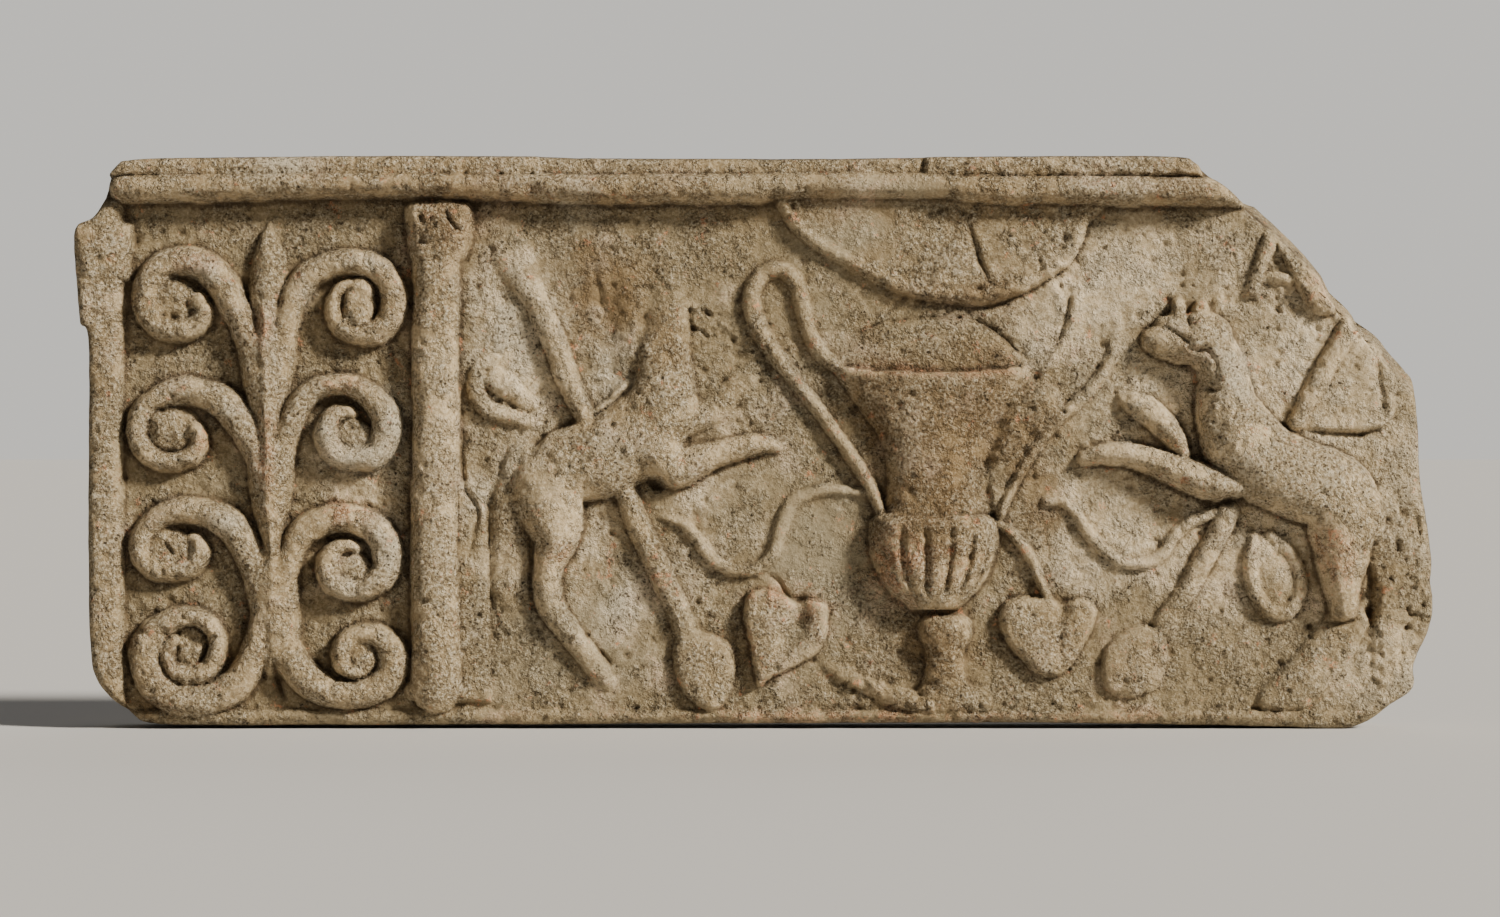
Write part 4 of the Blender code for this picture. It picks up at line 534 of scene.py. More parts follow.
staffs = dict(
    left=(
        ((-94, 80, 8, 1), (-91, 69, 8, 2), (-87.4, 60.5, 6.2, 3.4), (-81.8, 50.6, 4.8, 4.2),
         (-75, 33.4, 5, 4.8), (-68, 16.2, 4.2, 4.8), (-62.5, 4, 4, 4.8)),
        ((-50, -18, 4.6, 5), (-43.5, -34, 4.9, 5), (-36, -50, 4.9, 5), (-29.5, -65, 5, 4.8),
         (-24.5, -76, 5.6, 4.4)),
    ),
    right=(
        ((228, 45.5, 4.6, 4), (221.5, 35, 4.2, 4.6), (213.5, 21, 3.8, 4.8), (206, 8, 3.6, 4.6)),
        ((181, -26, 4.2, 4.2), (172.5, -42, 4.2, 4), (164, -57, 4.2, 3.6), (156, -69, 4.4, 3)),
    ),
    leftPaddle=(
        (-30.5, -76), (-31.8, -84), (-29.5, -92), (-24, -99), (-16, -103), (-10.5, -98), (-8, -88),
        (-9, -79), (-14, -74), (-22, -72),
    ),
    rightPaddle=(
        (138, -73), (133.3, -79), (131.8, -87), (134, -94), (139, -97), (146, -97), (152.5, -94),
        (156.5, -86), (157, -76), (152, -70), (145, -70),
    ),
)
plants = dict(
    leftCurl=(
        (-99, 31.5, 2.2, 1.4), (-104.5, 29.4, 3, 2.4), (-106.6, 23, 3.3, 3), (-104.6, 15.4, 3.6, 3.2),
        (-98.6, 11.4, 3.4, 3), (-91, 9.6, 2.8, 2.2), (-83, 6.8, 2, 1.2),
    ),
    leftCurlPetal=((-99.5, 25, 4.8, 2.6), (-93, 20, 4.2, 2.2), (-86, 15, 2.6, 1.2)),
    leftTendril=(
        (-36, -28, 1.6, 2), (-28.5, -30.5, 2.2, 2.6), (-22, -37, 2.8, 3.2), (-15.5, -45, 2.8, 3.2),
        (-8, -48.5, 2.6, 3), (0.5, -47.5, 2.6, 3), (7, -41.5, 2.8, 3), (10.5, -31, 3.2, 3),
        (14.5, -22.5, 2.8, 2.8), (22, -18.8, 2.4, 2.6), (30, -17.6, 2.2, 2.2), (41, -19, 1.8, 1.8),
    ),
    leftLeaf=(
        (-4.5, -66), (-3, -58.5), (3, -55.5), (10, -57.5), (16, -61), (21, -59.5), (27, -61), (28, -68),
        (24.5, -79), (17, -84.5), (8, -88.5), (1.5, -92.8), (0, -88), (-2.5, -76),
    ),
    leftLeafHollow=((17, -60, 2.6, 2), (16.5, -67, 4, 3.6), (13.5, -76, 3.2, 3), (8, -84, 2, 1)),
    rightStalk=(
        (92.5, -30, 1.8, 2.6), (98.5, -34.5, 2, 2.8), (104, -41.5, 2.1, 2.8), (108.4, -50, 2.1, 2.8),
        (112, -60, 2.2, 3.4),
    ),
    rightLeaf=(
        (95, -61.5), (92.8, -67), (95, -74.5), (100, -81), (106, -87), (111, -89.2), (117, -88), (122, -83),
        (127, -75), (130.2, -67), (129.5, -61), (124, -58.8), (117.5, -61), (113, -59), (106, -58.5),
        (100, -59),
    ),
    rightLeafHollow=(
        (117.5, -60, 1.8, 1.4), (117.5, -66, 2.6, 2.2), (116.5, -73, 1.6, 1), (116, -80, 1.2, 0.4),
    ),
    rightTendril=(
        (111, -22.5, 1.6, 1.6), (117.5, -22.5, 2, 2.4), (123, -27.5, 2.2, 2.6), (128.5, -36, 2.4, 2.8),
        (135.5, -43, 2.4, 3), (145.5, -46, 2.4, 3), (154, -43, 2.4, 3), (160, -36, 2.4, 2.8),
        (166.5, -30.5, 2.4, 2.8), (175, -26.5, 2.2, 2.6),
    ),
    ovalBud=(
        (190.5, -36, 2, 2.2), (189.2, -46, 3, 3.2), (190.8, -56, 3.2, 3.6), (196, -63.5, 3.4, 3.8),
        (202.5, -65, 3.2, 3.6), (207, -59, 2.8, 3.2), (207.6, -50, 2.6, 2.8), (203.6, -42, 2.6, 2.4),
        (197, -35.5, 2, 1.8),
    ),
    ovalBudBody=((192, -38, 3, 1.6), (197, -47, 6.4, 2.6), (199.4, -55, 6.6, 2.4), (200.4, -61, 5, 2)),
    upperTendril=(
        (237.5, 36, 1.6, 0.6), (240.8, 27, 2.4, 1.2), (242.4, 18, 2.6, 1.6), (240.4, 10.4, 2.6, 2.2),
        (233, 7, 2.8, 2.8), (223.5, 6.6, 3, 3), (214, 7.6, 2.8, 2.4), (207.5, 7.2, 2.2, 1.4),
    ),
    upperLeaf=(
        (224, 47), (230, 42), (236.5, 34), (239, 24), (240, 11), (226, 7), (211, 8), (206, 14), (214, 30),
    ),
    topBud=(
        ((197, 80, 3, 2.4), (194, 70, 3, 3), (189.5, 58, 2.8, 2.4)),
        ((193, 63, 2.2, 1.8), (204, 62.6, 2.2, 1.8)),
        ((200, 79, 2.6, 2.4), (205, 71, 3.6, 3.8), (210, 63.5, 4.8, 5), (214, 57.5, 5.2, 5.4),
         (217, 53.5, 5, 4.6)),
    ),
)


def layPlants(field):
    for shaft in staffs["left"] + staffs["right"]:
        field.roll(shaft, fullness=2.2, blend=1.2)
    field.plate(staffs["leftPaddle"], rise=3.6, edge=2.4, crown=1.8)
    field.plate(staffs["rightPaddle"], rise=2.6, edge=2.2, crown=1.2)
    field.roll(plants["leftCurl"], blend=0.8)
    for roll in ("leftCurlPetal", "leftTendril", "rightTendril"):
        field.roll(plants[roll], blend=1.2)
    field.plate(plants["upperLeaf"], rise=1.4, edge=3.0, blend=1.5)
    field.roll(plants["upperTendril"], blend=1.0)
    field.roll(plants["rightStalk"], blend=1.0)
    field.roll(plants["ovalBudBody"], blend=1.5)
    field.roll(plants["ovalBud"], blend=0.8)
    for leg in plants["topBud"]:
        field.roll(leg, blend=0.8)
    field.plate(plants["leftLeaf"], rise=4.6, edge=2.0, crown=1.0)
    field.groove(plants["leftLeafHollow"])
    field.plate(plants["rightLeaf"], rise=4.2, edge=2.6, crown=1.2, blend=1.0)
    field.groove(plants["rightLeafHollow"])


# The wine vessel. Turned profiles are (z, half width, rise) from the top down.
vessel = dict(
    drawnAxis=68.0,
    footShift=4.4,
    ribs=16.7,
    ribPhase=0.63,
    ribDepth=2.2,
    ribTop=-31.0,
    ribFoot=-60.0,
    ribEdge=-0.72,  # the angle around the body where the worn left part begins
    neck=(
        (30, 38.4, 10), (28, 38.6, 11.4), (25, 37, 11), (18, 31.2, 10), (12, 26.3, 9.4), (5, 21.5, 9),
        (-3, 18.6, 9), (-12, 17.8, 9.4), (-22, 18.2, 10.2), (-30, 20, 11),
    ),
    body=(
        (-27.2, 21.6, 10), (-29, 24.2, 13), (-33, 25.2, 14.6), (-40, 24.8, 15), (-47, 23, 14.6),
        (-53, 19.8, 13.4), (-58, 15.4, 11.6), (-61.5, 11.5, 9.6), (-63.5, 9.5, 7),
    ),
    neckHollow=(
        (105, 20, 1.6, 0.6), (96.6, 12, 2, 1.4), (92, 4, 2.2, 2), (88.8, -4, 2.2, 2.2),
        (87.6, -13, 2.2, 2.2), (88.4, -22, 2, 2), (91, -28, 1.4, 1),
    ),
    foot=(
        (-65.5, 7, 4.6), (-68, 10, 7.6), (-72, 10.6, 8.8), (-76, 9.2, 8), (-79, 7.8, 7), (-85, 7.8, 6.6),
        (-90.5, 8.6, 5.8), (-95, 12, 4.4), (-99, 17, 3), (-102, 20, 2),
    ),
    mouth=(
        (31, 31), (37.5, 39), (47, 44), (58, 46.6), (71, 47.4), (83, 46.4), (91.5, 42), (98.5, 36),
        (105.5, 30.5), (90, 27), (68, 26), (46, 27),
    ),
    leftHandle=(
        (31, 29.5, 3, 4.4), (25, 34, 3.3, 4.2), (20.6, 42, 3.4, 4), (18.6, 50, 3.4, 3.8),
        (16.4, 59.5, 3.4, 3.6), (11.5, 65.6, 3.3, 3.6), (5, 65.8, 3.4, 3.8), (0, 61, 3.6, 4.2),
        (-1.2, 53, 3.8, 4.6), (1.6, 43.5, 3.8, 4.6), (8, 33, 3.6, 4.4), (16, 22.5, 3.3, 4.2),
        (24.5, 11.5, 3, 4), (32.2, 1.5, 2.8, 4), (38.8, -8, 2.6, 4), (44.4, -18, 2.5, 4.4),
        (48.5, -27.5, 2.4, 5),
    ),
    rightHandle=(
        ((108, 28, 2.4, 2.6), (114, 34, 2.4, 2), (119.6, 42, 2.4, 1.6), (122, 52, 2.2, 1.2),
         (123, 62, 2, 0.4)),
        ((138, 48, 2, 0.4), (137, 38, 2.3, 1.8), (134, 28.5, 2.4, 2.8), (125.5, 18, 2.4, 3.4),
         (116, 9, 2.4, 3.8), (108.4, 0, 2.4, 4.2), (102, -9, 2.3, 4.4), (97.4, -18, 2.2, 4.6),
         (93.4, -27, 2.2, 4.8)),
    ),
    shoulder=(
        (100, 22), (112, 22), (118, 12), (111, 2), (104, -6), (99, -16), (93, -27), (84, -24), (82, -6),
        (86, 8), (92, 18),
    ),
    groundLumps=(
        (-46.5, 44, 6, 20, 2.2), (-60, 66, 13, 14, 1.4), (-48, 62, 8, 10, 0.8), (-97, -24, 7, 22, 1),
        (197, 60, 10, 14, 0.8), (-16, 20, 12, 12, 0.9), (106, 14, 12, 22, 0.8), (226, 26, 10, 14, 0.6),
        (54, -96, 7, 4, 1.4), (38, -98, 7, 2.4, 1), (101, -97, 5, 2.4, 0.8),
    ),
    groundRidge=(
        (27, -84.5, 2, 0.8), (33, -88, 2.8, 2.2), (41, -92, 3.2, 2.8), (52, -96, 4, 3.4),
        (64, -98.6, 4.4, 4), (78, -98.6, 4.6, 3.8), (90, -97.6, 4, 2.6), (99, -97.6, 3, 1),
    ),
)
bowl = dict(
    outline=(
        (6.5, 99), (7.5, 92), (11.5, 85), (17, 78.5), (24.6, 71.8), (34.2, 66), (45, 61), (56, 56.4),
        (66, 53.8), (78, 52.6), (87, 52.6), (98, 55.6), (108, 60.3), (116.5, 65.5), (122.5, 72), (126, 81),
        (127, 99),
    ),
    lip=(
        (11, 92, 2.4, 4.6), (15.5, 83.5, 3, 4.8), (24.5, 75.6, 3, 4.8), (34.6, 70, 3, 4.7),
        (45.8, 65, 3, 4.5), (56, 60, 3.2, 4.6), (66, 57.4, 3.4, 4.7), (78, 56.3, 3.4, 4.6),
        (88, 56.8, 3.4, 5), (98, 59.4, 3.6, 5.2), (107.6, 64, 3.8, 5.2), (116, 70, 3.6, 5),
        (121.5, 77, 3.4, 4.6), (126, 92, 3, 4),
    ),
    ridge=((80.5, 90), (75, 80), (69, 70), (66, 60), (76, 57.5), (89, 59), (86.5, 68), (83.5, 78)),
)


def ribCut(angle, z):
    valley = 0.5 + 0.5 * np.cos(vessel["ribs"] * angle - vessel["ribPhase"] * math.tau)
    fade = np.clip((vessel["ribTop"] - z) / 4, 0, 1) * np.clip((z - vessel["ribFoot"]) / 6, 0, 1)
    return vessel["ribDepth"] * valley**3.5 * fade * np.clip((angle - vessel["ribEdge"]) / 0.25, 0, 1)


def layVessel(field):
    field.plate(vessel["shoulder"], rise=3.0, edge=6.0, blend=2.5)
    field.plate(vessel["mouth"], rise=2.0, edge=3.0, crown=0.8, blend=1.2)
    field.plate(bowl["outline"], rise=3.2, edge=2.6)
    field.plate(bowl["ridge"], rise=4.6, edge=4.0, blend=2.0)
    field.roll(bowl["lip"], blend=1.6)
    field.roll(vessel["leftHandle"], blend=1.0)
    for strand in vessel["rightHandle"]:
        field.roll(strand, blend=1.2)
    for lump in vessel["groundLumps"]:
        field.swell(*lump)
    field.roll(vessel["groundRidge"], blend=1.2)
    field.groove(vessel["neckHollow"])
    field.turned(vessel["neck"], vessel["drawnAxis"], blend=1.2, bow=3.4)
    field.turned(vessel["foot"], vessel["drawnAxis"] + vessel["footShift"], blend=2.0)
    field.turned(vessel["body"], vessel["drawnAxis"], blend=0.8, ribs=ribCut)


leftBeast = dict(
    farLeg=(
        (-88, -8, 8, 3.4), (-92.5, -20, 7.4, 4.2), (-94, -32, 7.2, 4), (-94.5, -44, 7.2, 3.4),
        (-94, -56, 7, 2.4), (-92, -66, 6, 1),
    ),
    body=(
        ((-79, -16, 13, 9), (-70, -9, 15, 10), (-57, -5, 15.5, 10.5), (-44, 3, 15.5, 11),
         (-35, 14, 14, 10.6)),
        ((-35, 14, 14, 10.6), (-34.5, 26, 11.4, 8.4), (-34.8, 37, 9.8, 6), (-33.6, 47, 8.4, 3.8),
         (-33, 56, 7.4, 2), (-33, 64, 6, 0.6)),
        ((-31, 47, 7, 5), (-26, 50, 5, 3.4)),
        ((-80, -17, 14, 10), (-77.4, -27, 12.4, 11), (-76, -36, 8.8, 10.4), (-79, -46, 6.2, 9),
         (-79, -56, 5.7, 8), (-77.2, -63.5, 5.6, 7.2), (-71.2, -72, 5.1, 6.6), (-65.4, -79.5, 4.7, 5.6),
         (-60.4, -86, 4.3, 4), (-56.4, -91, 3.6, 1.8)),
        ((-37, -4, 10, 11), (-31, -9.5, 8, 10.5), (-21, -6.5, 6, 9.2), (-9, -2.6, 5, 7.8),
         (1.5, -0.2, 4.2, 6.4), (8.4, -1.4, 2.2, 3.6)),
    ),
    nearPaw=((-26, 8, 6, 5.4), (-16, 13, 5.4, 4.4), (-8, 21, 5.4, 3.6), (-2, 27, 4.4, 2.4)),
    backRidge=((-63, 10.5, 1, 2), (-58, 14, 1.6, 3.2), (-53, 19, 1.6, 3.2), (-48, 24, 1.4, 2)),
    pelt=((-70, -14, 12, 8, 0.8), (-54, -4, 12, 8, 1), (-40, 8, 9, 9, 1), (-36, 22, 7, 9, 0.8)),
)
rightBeast = dict(
    body=(
        ((229, -29, 12.5, 10.6), (221, -19, 15, 12.4), (208, -14, 15.5, 13.5), (195, -8, 15.5, 13.5),
         (184.5, 2, 15, 13)),
        ((184.5, 2, 15, 13), (180, 13, 12.4, 12), (179, 24, 10, 11.5), (176, 33, 9.6, 10.5),
         (169, 40, 9.4, 10)),
        ((172, 40, 10.2, 10.4), (163.5, 39.4, 9.4, 10), (156.6, 39.2, 7.8, 9.2), (151.8, 39, 5.2, 7.6)),
        ((156, 44.6, 4, 5.6), (164, 45.6, 5, 6), (172, 43.6, 5.4, 6.6), (177, 40, 5, 6.6)),
        ((160, 46, 3.4, 6), (161.4, 50, 3, 5.4), (161.2, 53, 2.8, 4.4)),
        ((167.4, 45, 3.6, 7.2), (169.6, 49.6, 3.8, 6.6), (169.8, 51.4, 3.4, 5.8)),
        ((184, -17, 4, 9.5), (177, -16, 6.2, 11), (168.5, -13.4, 6.8, 11.5), (158.5, -9.6, 6.1, 10.5),
         (146, -5.5, 5, 9), (134, -4, 4.4, 7), (125.5, -5.4, 3.2, 4.5)),
        ((224.5, -27, 14.5, 12.4), (224, -40, 11.4, 12), (223.8, -52, 8.4, 11), (224.4, -60, 6.2, 10),
         (224.6, -63.4, 5.4, 9)),
    ),
    nearPaw=(
        (163, -4, 3, 6), (158.5, 3.5, 4.8, 7.2), (152, 10.5, 5.6, 7), (146, 14.5, 5, 5.4),
        (140.5, 17, 3.2, 2.8),
    ),
    foot=(
        (226, -68, 8, 3.8), (221, -76, 9, 3.6), (213, -86, 9, 3.4), (205.5, -94, 8.6, 3),
        (199, -98, 7, 2.6),
    ),
    farLeg=(
        (238, -36, 6, 4), (241, -48, 6, 2.4), (241.4, -60, 5.6, 2), (241.4, -73, 5, 1.4),
        (241, -88, 4.4, 0.6),
    ),
    tail=((238, -22, 5, 2.4), (243.6, -31, 4.4, 1.6), (246.4, -42, 4, 1), (247, -52, 3.4, 0.3)),
)


def layBeasts(field):
    field.roll(leftBeast["farLeg"], blend=2.5)
    field.roll(rightBeast["farLeg"], blend=3.5)
    field.roll(rightBeast["foot"], fullness=3.0, blend=0.8)
    field.roll(rightBeast["tail"], blend=3.0)
    field.roll(leftBeast["nearPaw"], blend=2.5)
    field.roll(rightBeast["nearPaw"], blend=1.0)
    field.roll(leftBeast["backRidge"], blend=1.0)
    field.limbs(leftBeast["body"], blend=1.4, soften=3.0)
    field.limbs(rightBeast["body"], blend=1.0, soften=2.4)


# Cracks are (x, z, half width, depth), dents (x, z, radius, depth), rough and mended spots
# (x, z, reach across, reach up, strength).
damage = dict(
    columnCracks=(
        ((-129, 77, 0.8, 0.8), (-124, 75.5, 1, 1.2), (-118, 76.5, 0.9, 1), (-113, 75.5, 0.8, 0.6)),
        ((-130, 88, 0.6, 0.6), (-126, 84, 0.8, 1.2), (-125.4, 79, 0.7, 0.8)),
        ((-118, 90, 0.6, 0.8), (-116, 84.6, 0.8, 1.2), (-112.4, 80.6, 0.7, 0.8)),
        ((-126, -60.4, 0.6, 0.4), (-121, -61.4, 0.7, 0.8), (-117, -60.8, 0.5, 0.4)),
        ((-112.8, 8, 0.6, 0.6), (-112.4, -6, 0.8, 1.2), (-110.6, -18, 0.9, 1.6), (-106, -26, 0.9, 1.6),
         (-107.6, -34, 0.8, 1.2), (-109, -44, 0.7, 0.8)),
    ),
    fieldCracks=(
        ((-24.8, 51, 0.8, 1.8), (-25.2, 47, 1, 2.2), (-24.2, 43.5, 0.9, 2), (-21.5, 42.6, 0.8, 1.4),
         (-18, 40.4, 0.6, 0.8)),
        ((-24.5, 49.5, 0.7, 1), (-21, 50.4, 0.8, 1.2), (-17.5, 48.6, 0.7, 0.8), (-14, 49.2, 0.6, 0.5)),
        ((-70, 31, 0.5, 0.8), (-67.5, 26.5, 0.7, 1.2), (-66, 20.5, 0.6, 1.2), (-63, 16, 0.6, 0.8)),
        ((79.5, 88, 0.9, 1.6), (81.5, 82, 1, 1.8), (83, 76, 1, 1.6), (85.5, 69, 1, 1.8), (88.5, 62, 0.9, 1)),
        ((72, 52.6, 0.7, 0.8), (84, 51.5, 0.9, 1.4), (93, 53, 0.8, 1.4), (102, 56.8, 0.8, 1.4),
         (111, 62, 0.8, 1.4), (118.6, 67.6, 0.7, 1.2), (123.6, 74, 0.6, 0.8)),
        ((103, 63, 0.5, 0.8), (109, 65.4, 0.7, 1.4), (114.4, 67.4, 0.6, 1)),
        ((-62, 70, 1, 0.8), (-60, 60, 1.2, 1), (-57, 50, 1, 0.8)),
        ((36.5, 40, 0.6, 0.8), (46, 45.2, 0.6, 1), (58, 47.8, 0.6, 1), (71, 48.4, 0.6, 1),
         (84, 47.2, 0.6, 1), (92.5, 42.6, 0.7, 1.2), (99, 36.5, 0.7, 1), (104, 31, 0.6, 0.8)),
        ((108, 28, 1, 1.4), (107, 23, 0.9, 1), (106, 19, 0.8, 0.6)),
        ((5.5, -50, 0.7, 0.8), (9.5, -53.5, 0.9, 1.4), (12, -58, 0.9, 1.4), (15.5, -60, 0.8, 1)),
        ((-62, -76, 0.6, 0.8), (-56, -83, 0.7, 1), (-51, -86, 0.6, 0.6)),
        ((145, 18.4, 0.7, 1), (149.5, 16.4, 0.9, 1.8), (153.5, 12.6, 0.8, 1.2)),
        ((236.8, 35, 1, 0.5), (237.8, 27, 1.3, 0.8), (239, 19, 1.2, 0.8), (239.4, 12, 1, 0.4)),
        ((214, 4.6, 0.7, 0.8), (223.5, 3.8, 0.9, 1.4), (231, 2.8, 0.9, 1.4), (238.4, 4.6, 0.7, 0.8)),
        ((253.5, -29, 0.8, 1.4), (254.8, -37, 0.8, 1.4), (252.5, -41, 0.7, 0.8)),
        ((190, -101, 0.9, 1.2), (199, -102.5, 1, 1.4), (209, -102.5, 0.9, 1)),
        ((217, -67.6, 0.9, 1), (222, -68.6, 1.1, 2), (228, -68, 0.9, 1.4)),
        ((235, -47, 0.8, 0.8), (235.8, -54, 1.4, 2.2), (236.2, -61, 1.9, 2.6), (235.4, -68.4, 1.6, 2)),
        ((225.6, -39.8, 0.5, 0.6), (230, -40.4, 0.6, 1), (235, -39.6, 0.7, 1), (236, -37.4, 0.7, 1.2)),
        ((244, -33, 1, 0.6), (245.4, -40, 1, 0.8), (245.6, -47, 1, 0.5)),
        ((150.5, 45, 0.6, 0.8), (156, 44, 0.8, 1.6), (161, 41.4, 0.9, 2), (165.6, 37.8, 0.7, 1.4)),
        ((164.6, 36.6, 0.6, 1), (168.4, 35.2, 0.9, 2.4), (172.4, 35.4, 0.8, 1.6)),
        ((164.6, 49.6, 0.8, 1.4), (164.9, 46, 0.9, 2.4), (166.4, 42.6, 0.8, 1.2)),
        ((169, 24, 0.7, 1), (172.6, 20.6, 0.9, 2), (177, 20, 0.8, 1.2), (179, 22, 0.6, 0.6)),
        ((171, 35.6, 0.6, 0.8), (174.4, 32, 0.7, 1), (175.6, 28, 0.7, 1), (175, 24, 0.6, 0.6)),
        ((107, 27, 0.6, 0.8), (115, 38, 0.6, 1), (118.8, 50, 0.6, 0.9), (120.6, 58, 0.5, 0.6)),
    ),
    dents=(
        (-237, 78, 1.6, 1.2), (-238, 69, 1.2, 0.8), (-238, 21, 1.2, 1), (-85, 96.5, 3.4, 2.2),
        (-90, 97, 2, 1.2), (-37.5, -15, 3.2, 4.6), (180.5, -22, 2.6, 3.2), (172, -23, 2.2, 1.2),
        (3, -58, 1.4, 1.2), (5, 64, 1, 0.8), (235, -64.6, 2.2, 3), (242.6, -52, 1.1, 1.2),
        (251, -55, 1.3, 1.2), (255, -62, 1.2, 1.2), (249.5, -70, 1.4, 1.4), (253, -68, 1, 1.2),
        (256, -53, 1.2, 1.2), (147, 50, 1, 0.6), (128, 0, 1.2, 0.6), (22, -83, 1.4, 1.2),
        (211.4, -70, 1.3, 1.6), (211.8, -74, 1.1, 1.2), (6, 92, 3, 0.8), (169.4, 36.4, 1.4, 0.8),
        (169.6, 51.4, 1.2, 2), (156.6, 41.4, 0.9, 1), (164.4, 30.6, 2, 1.2),
    ),
    roughSpots=(
        (-122, 82, 14, 12, 1), (-3, 36, 16, 20, 0.8), (68, 56, 34, 5, 0.9), (45, -94, 30, 7, 1),
        (178, 20, 10, 22, 0.6), (250, -62, 10, 26, 1), (238, -66, 8, 26, 0.9), (103, 8, 26, 30, 0.5),
        (114, 67, 13, 10, 1), (-60, 8, 40, 30, 0.4), (-150, -40, 18, 40, 0.8), (-150, 40, 18, 34, 0.6),
        (-222, 20, 20, 50, 0.6), (-223, -76, 18, 24, 0.8), (204, 62, 14, 20, 0.6), (-250, 70, 8, 16, 0.5),
        (80, -100, 130, 4, 0.8), (60, 104, 200, 6, 0.4),
    ),
    mendedSpots=(
        (36, 80, 26, 11, 1), (20, -38, 22, 26, 0.9), (22, 40, 16, 22, 0.8), (24, -84, 18, 16, 0.7),
        (42, 97, 34, 7, 1), (8, -12, 16, 12, 0.7), (5, 76, 10, 12, 0.6),
    ),
)
# The clay's unevenness: waves are (wavelength, height), pits (cell, share of the cells that hold one, depth).
surface = dict(
    broad=(0.035, 0.0006),
    uneven=(0.009, 0.00042),
    fine=(0.0031, 0.00034),
    pits=(0.0052, 0.42, 0.0010),
    roughPits=(0.0036, 0.7, 0.0014),
    tufts=(0.0024, 0.0006),
    mendEdge=(0.012, 0.25),  # frays the edge of a mended spot
    calmed=0.75,  # how much of the rest a mended spot loses
    nibbled=(0.012, 0.3),  # changes the rounding of the slab's edge
    patchy=(0.016, 1),  # fray the edges of the stains
    cloudy=(0.022, 1),
    # The hollows found this way are painted darker as painted shade, the crests paler as painted highlight.
    compared=0.0016,  # how far around a point its height is compared, to find hollows and crests
)


def cutDamage(shaft, field):
    for crack in damage["columnCracks"]:
        shaft.groove(crack)
    for crack in damage["fieldCracks"]:
        field.groove(crack)
    for dent in damage["dents"]:
        field.dent(*dent)


def roughen(face, field):
    x, z = face["x"], face["z"]
    rough = field.stain(damage["roughSpots"])
    mended = field.stain(damage["mendedSpots"]) + fractalNoise(x, z, surface["mendEdge"], 3, 71)
    face["mended"] = smoothStep((mended - 0.35) * 3)
    calm = 1 - surface["calmed"] * face["mended"]
    face["rise"] += fractalNoise(x, z, surface["uneven"], 3, 11) * (0.7 + 0.9 * rough) * calm
    face["rise"] += fractalNoise(x, z, surface["fine"], 2, 21, keep=0.7) * (0.8 + 1.6 * rough) * calm
    face["rise"] -= pitNoise(x, z, surface["pits"], 61) * calm
    face["rise"] -= pitNoise(x, z, surface["roughPits"], 67) * rough * calm
    along = 0.75 * x + 0.66 * z
    aside = 0.66 * x - 0.75 * z
    tufts = np.abs(clayNoise(along * 0.42, aside, surface["tufts"], 121))
    face["rise"] -= tufts * field.stain(leftBeast["pelt"])


def roundEdges(face, outline):
    cells = round(1.6 * slab["edgeRounding"] / slab["gridStep"]) + 2
    rim = np.zeros(face["x"].shape, bool)
    rim[:cells] = rim[-cells:] = True
    rim[:, :cells] = rim[:, -cells:] = True
    x, z = face["x"][rim], face["z"][rim]
    nibbled = slab["edgeRounding"] * (1 + fractalNoise(x, z, surface["nibbled"], 2, 81))
    share = np.clip(1 - distanceToLine(x, z, outline) / nibbled, 0, 1)
    face["rise"][rim] -= nibbled * (1 - np.sqrt(1 - share**2 * 0.98))


def figureDrawing(face, drawnAxis, axis):
    low, high = slab["drawnField"]
    unit = (torusBottom - fieldBottom) / (high - low)
    return Drawing(face, drawnAxis, axis, low, fieldBottom, unit, slab["figureRise"] / slab["drawnRise"])


def modelFace(face, outline):
    sheet = Drawing(face, 0, 0, 0, 0, 0.001, 0.001)
    panel = figureDrawing(face, scrollTree["drawnStem"], stemAxis)
    shaft = figureDrawing(face, column["drawnAxis"], columnAxis)
    field = figureDrawing(face, vessel["drawnAxis"], vaseAxis)
    face["rise"] = clayNoise(face["x"], face["z"], surface["broad"], 3)
    layPlants(field)
    layVessel(field)
    layBeasts(field)
    layScrollTree(panel)
    layPilaster(sheet)
    layColumn(sheet)
    layFrame(sheet)
    cutDamage(shaft, field)
    roughen(face, field)
    roundEdges(face, outline)
    return field


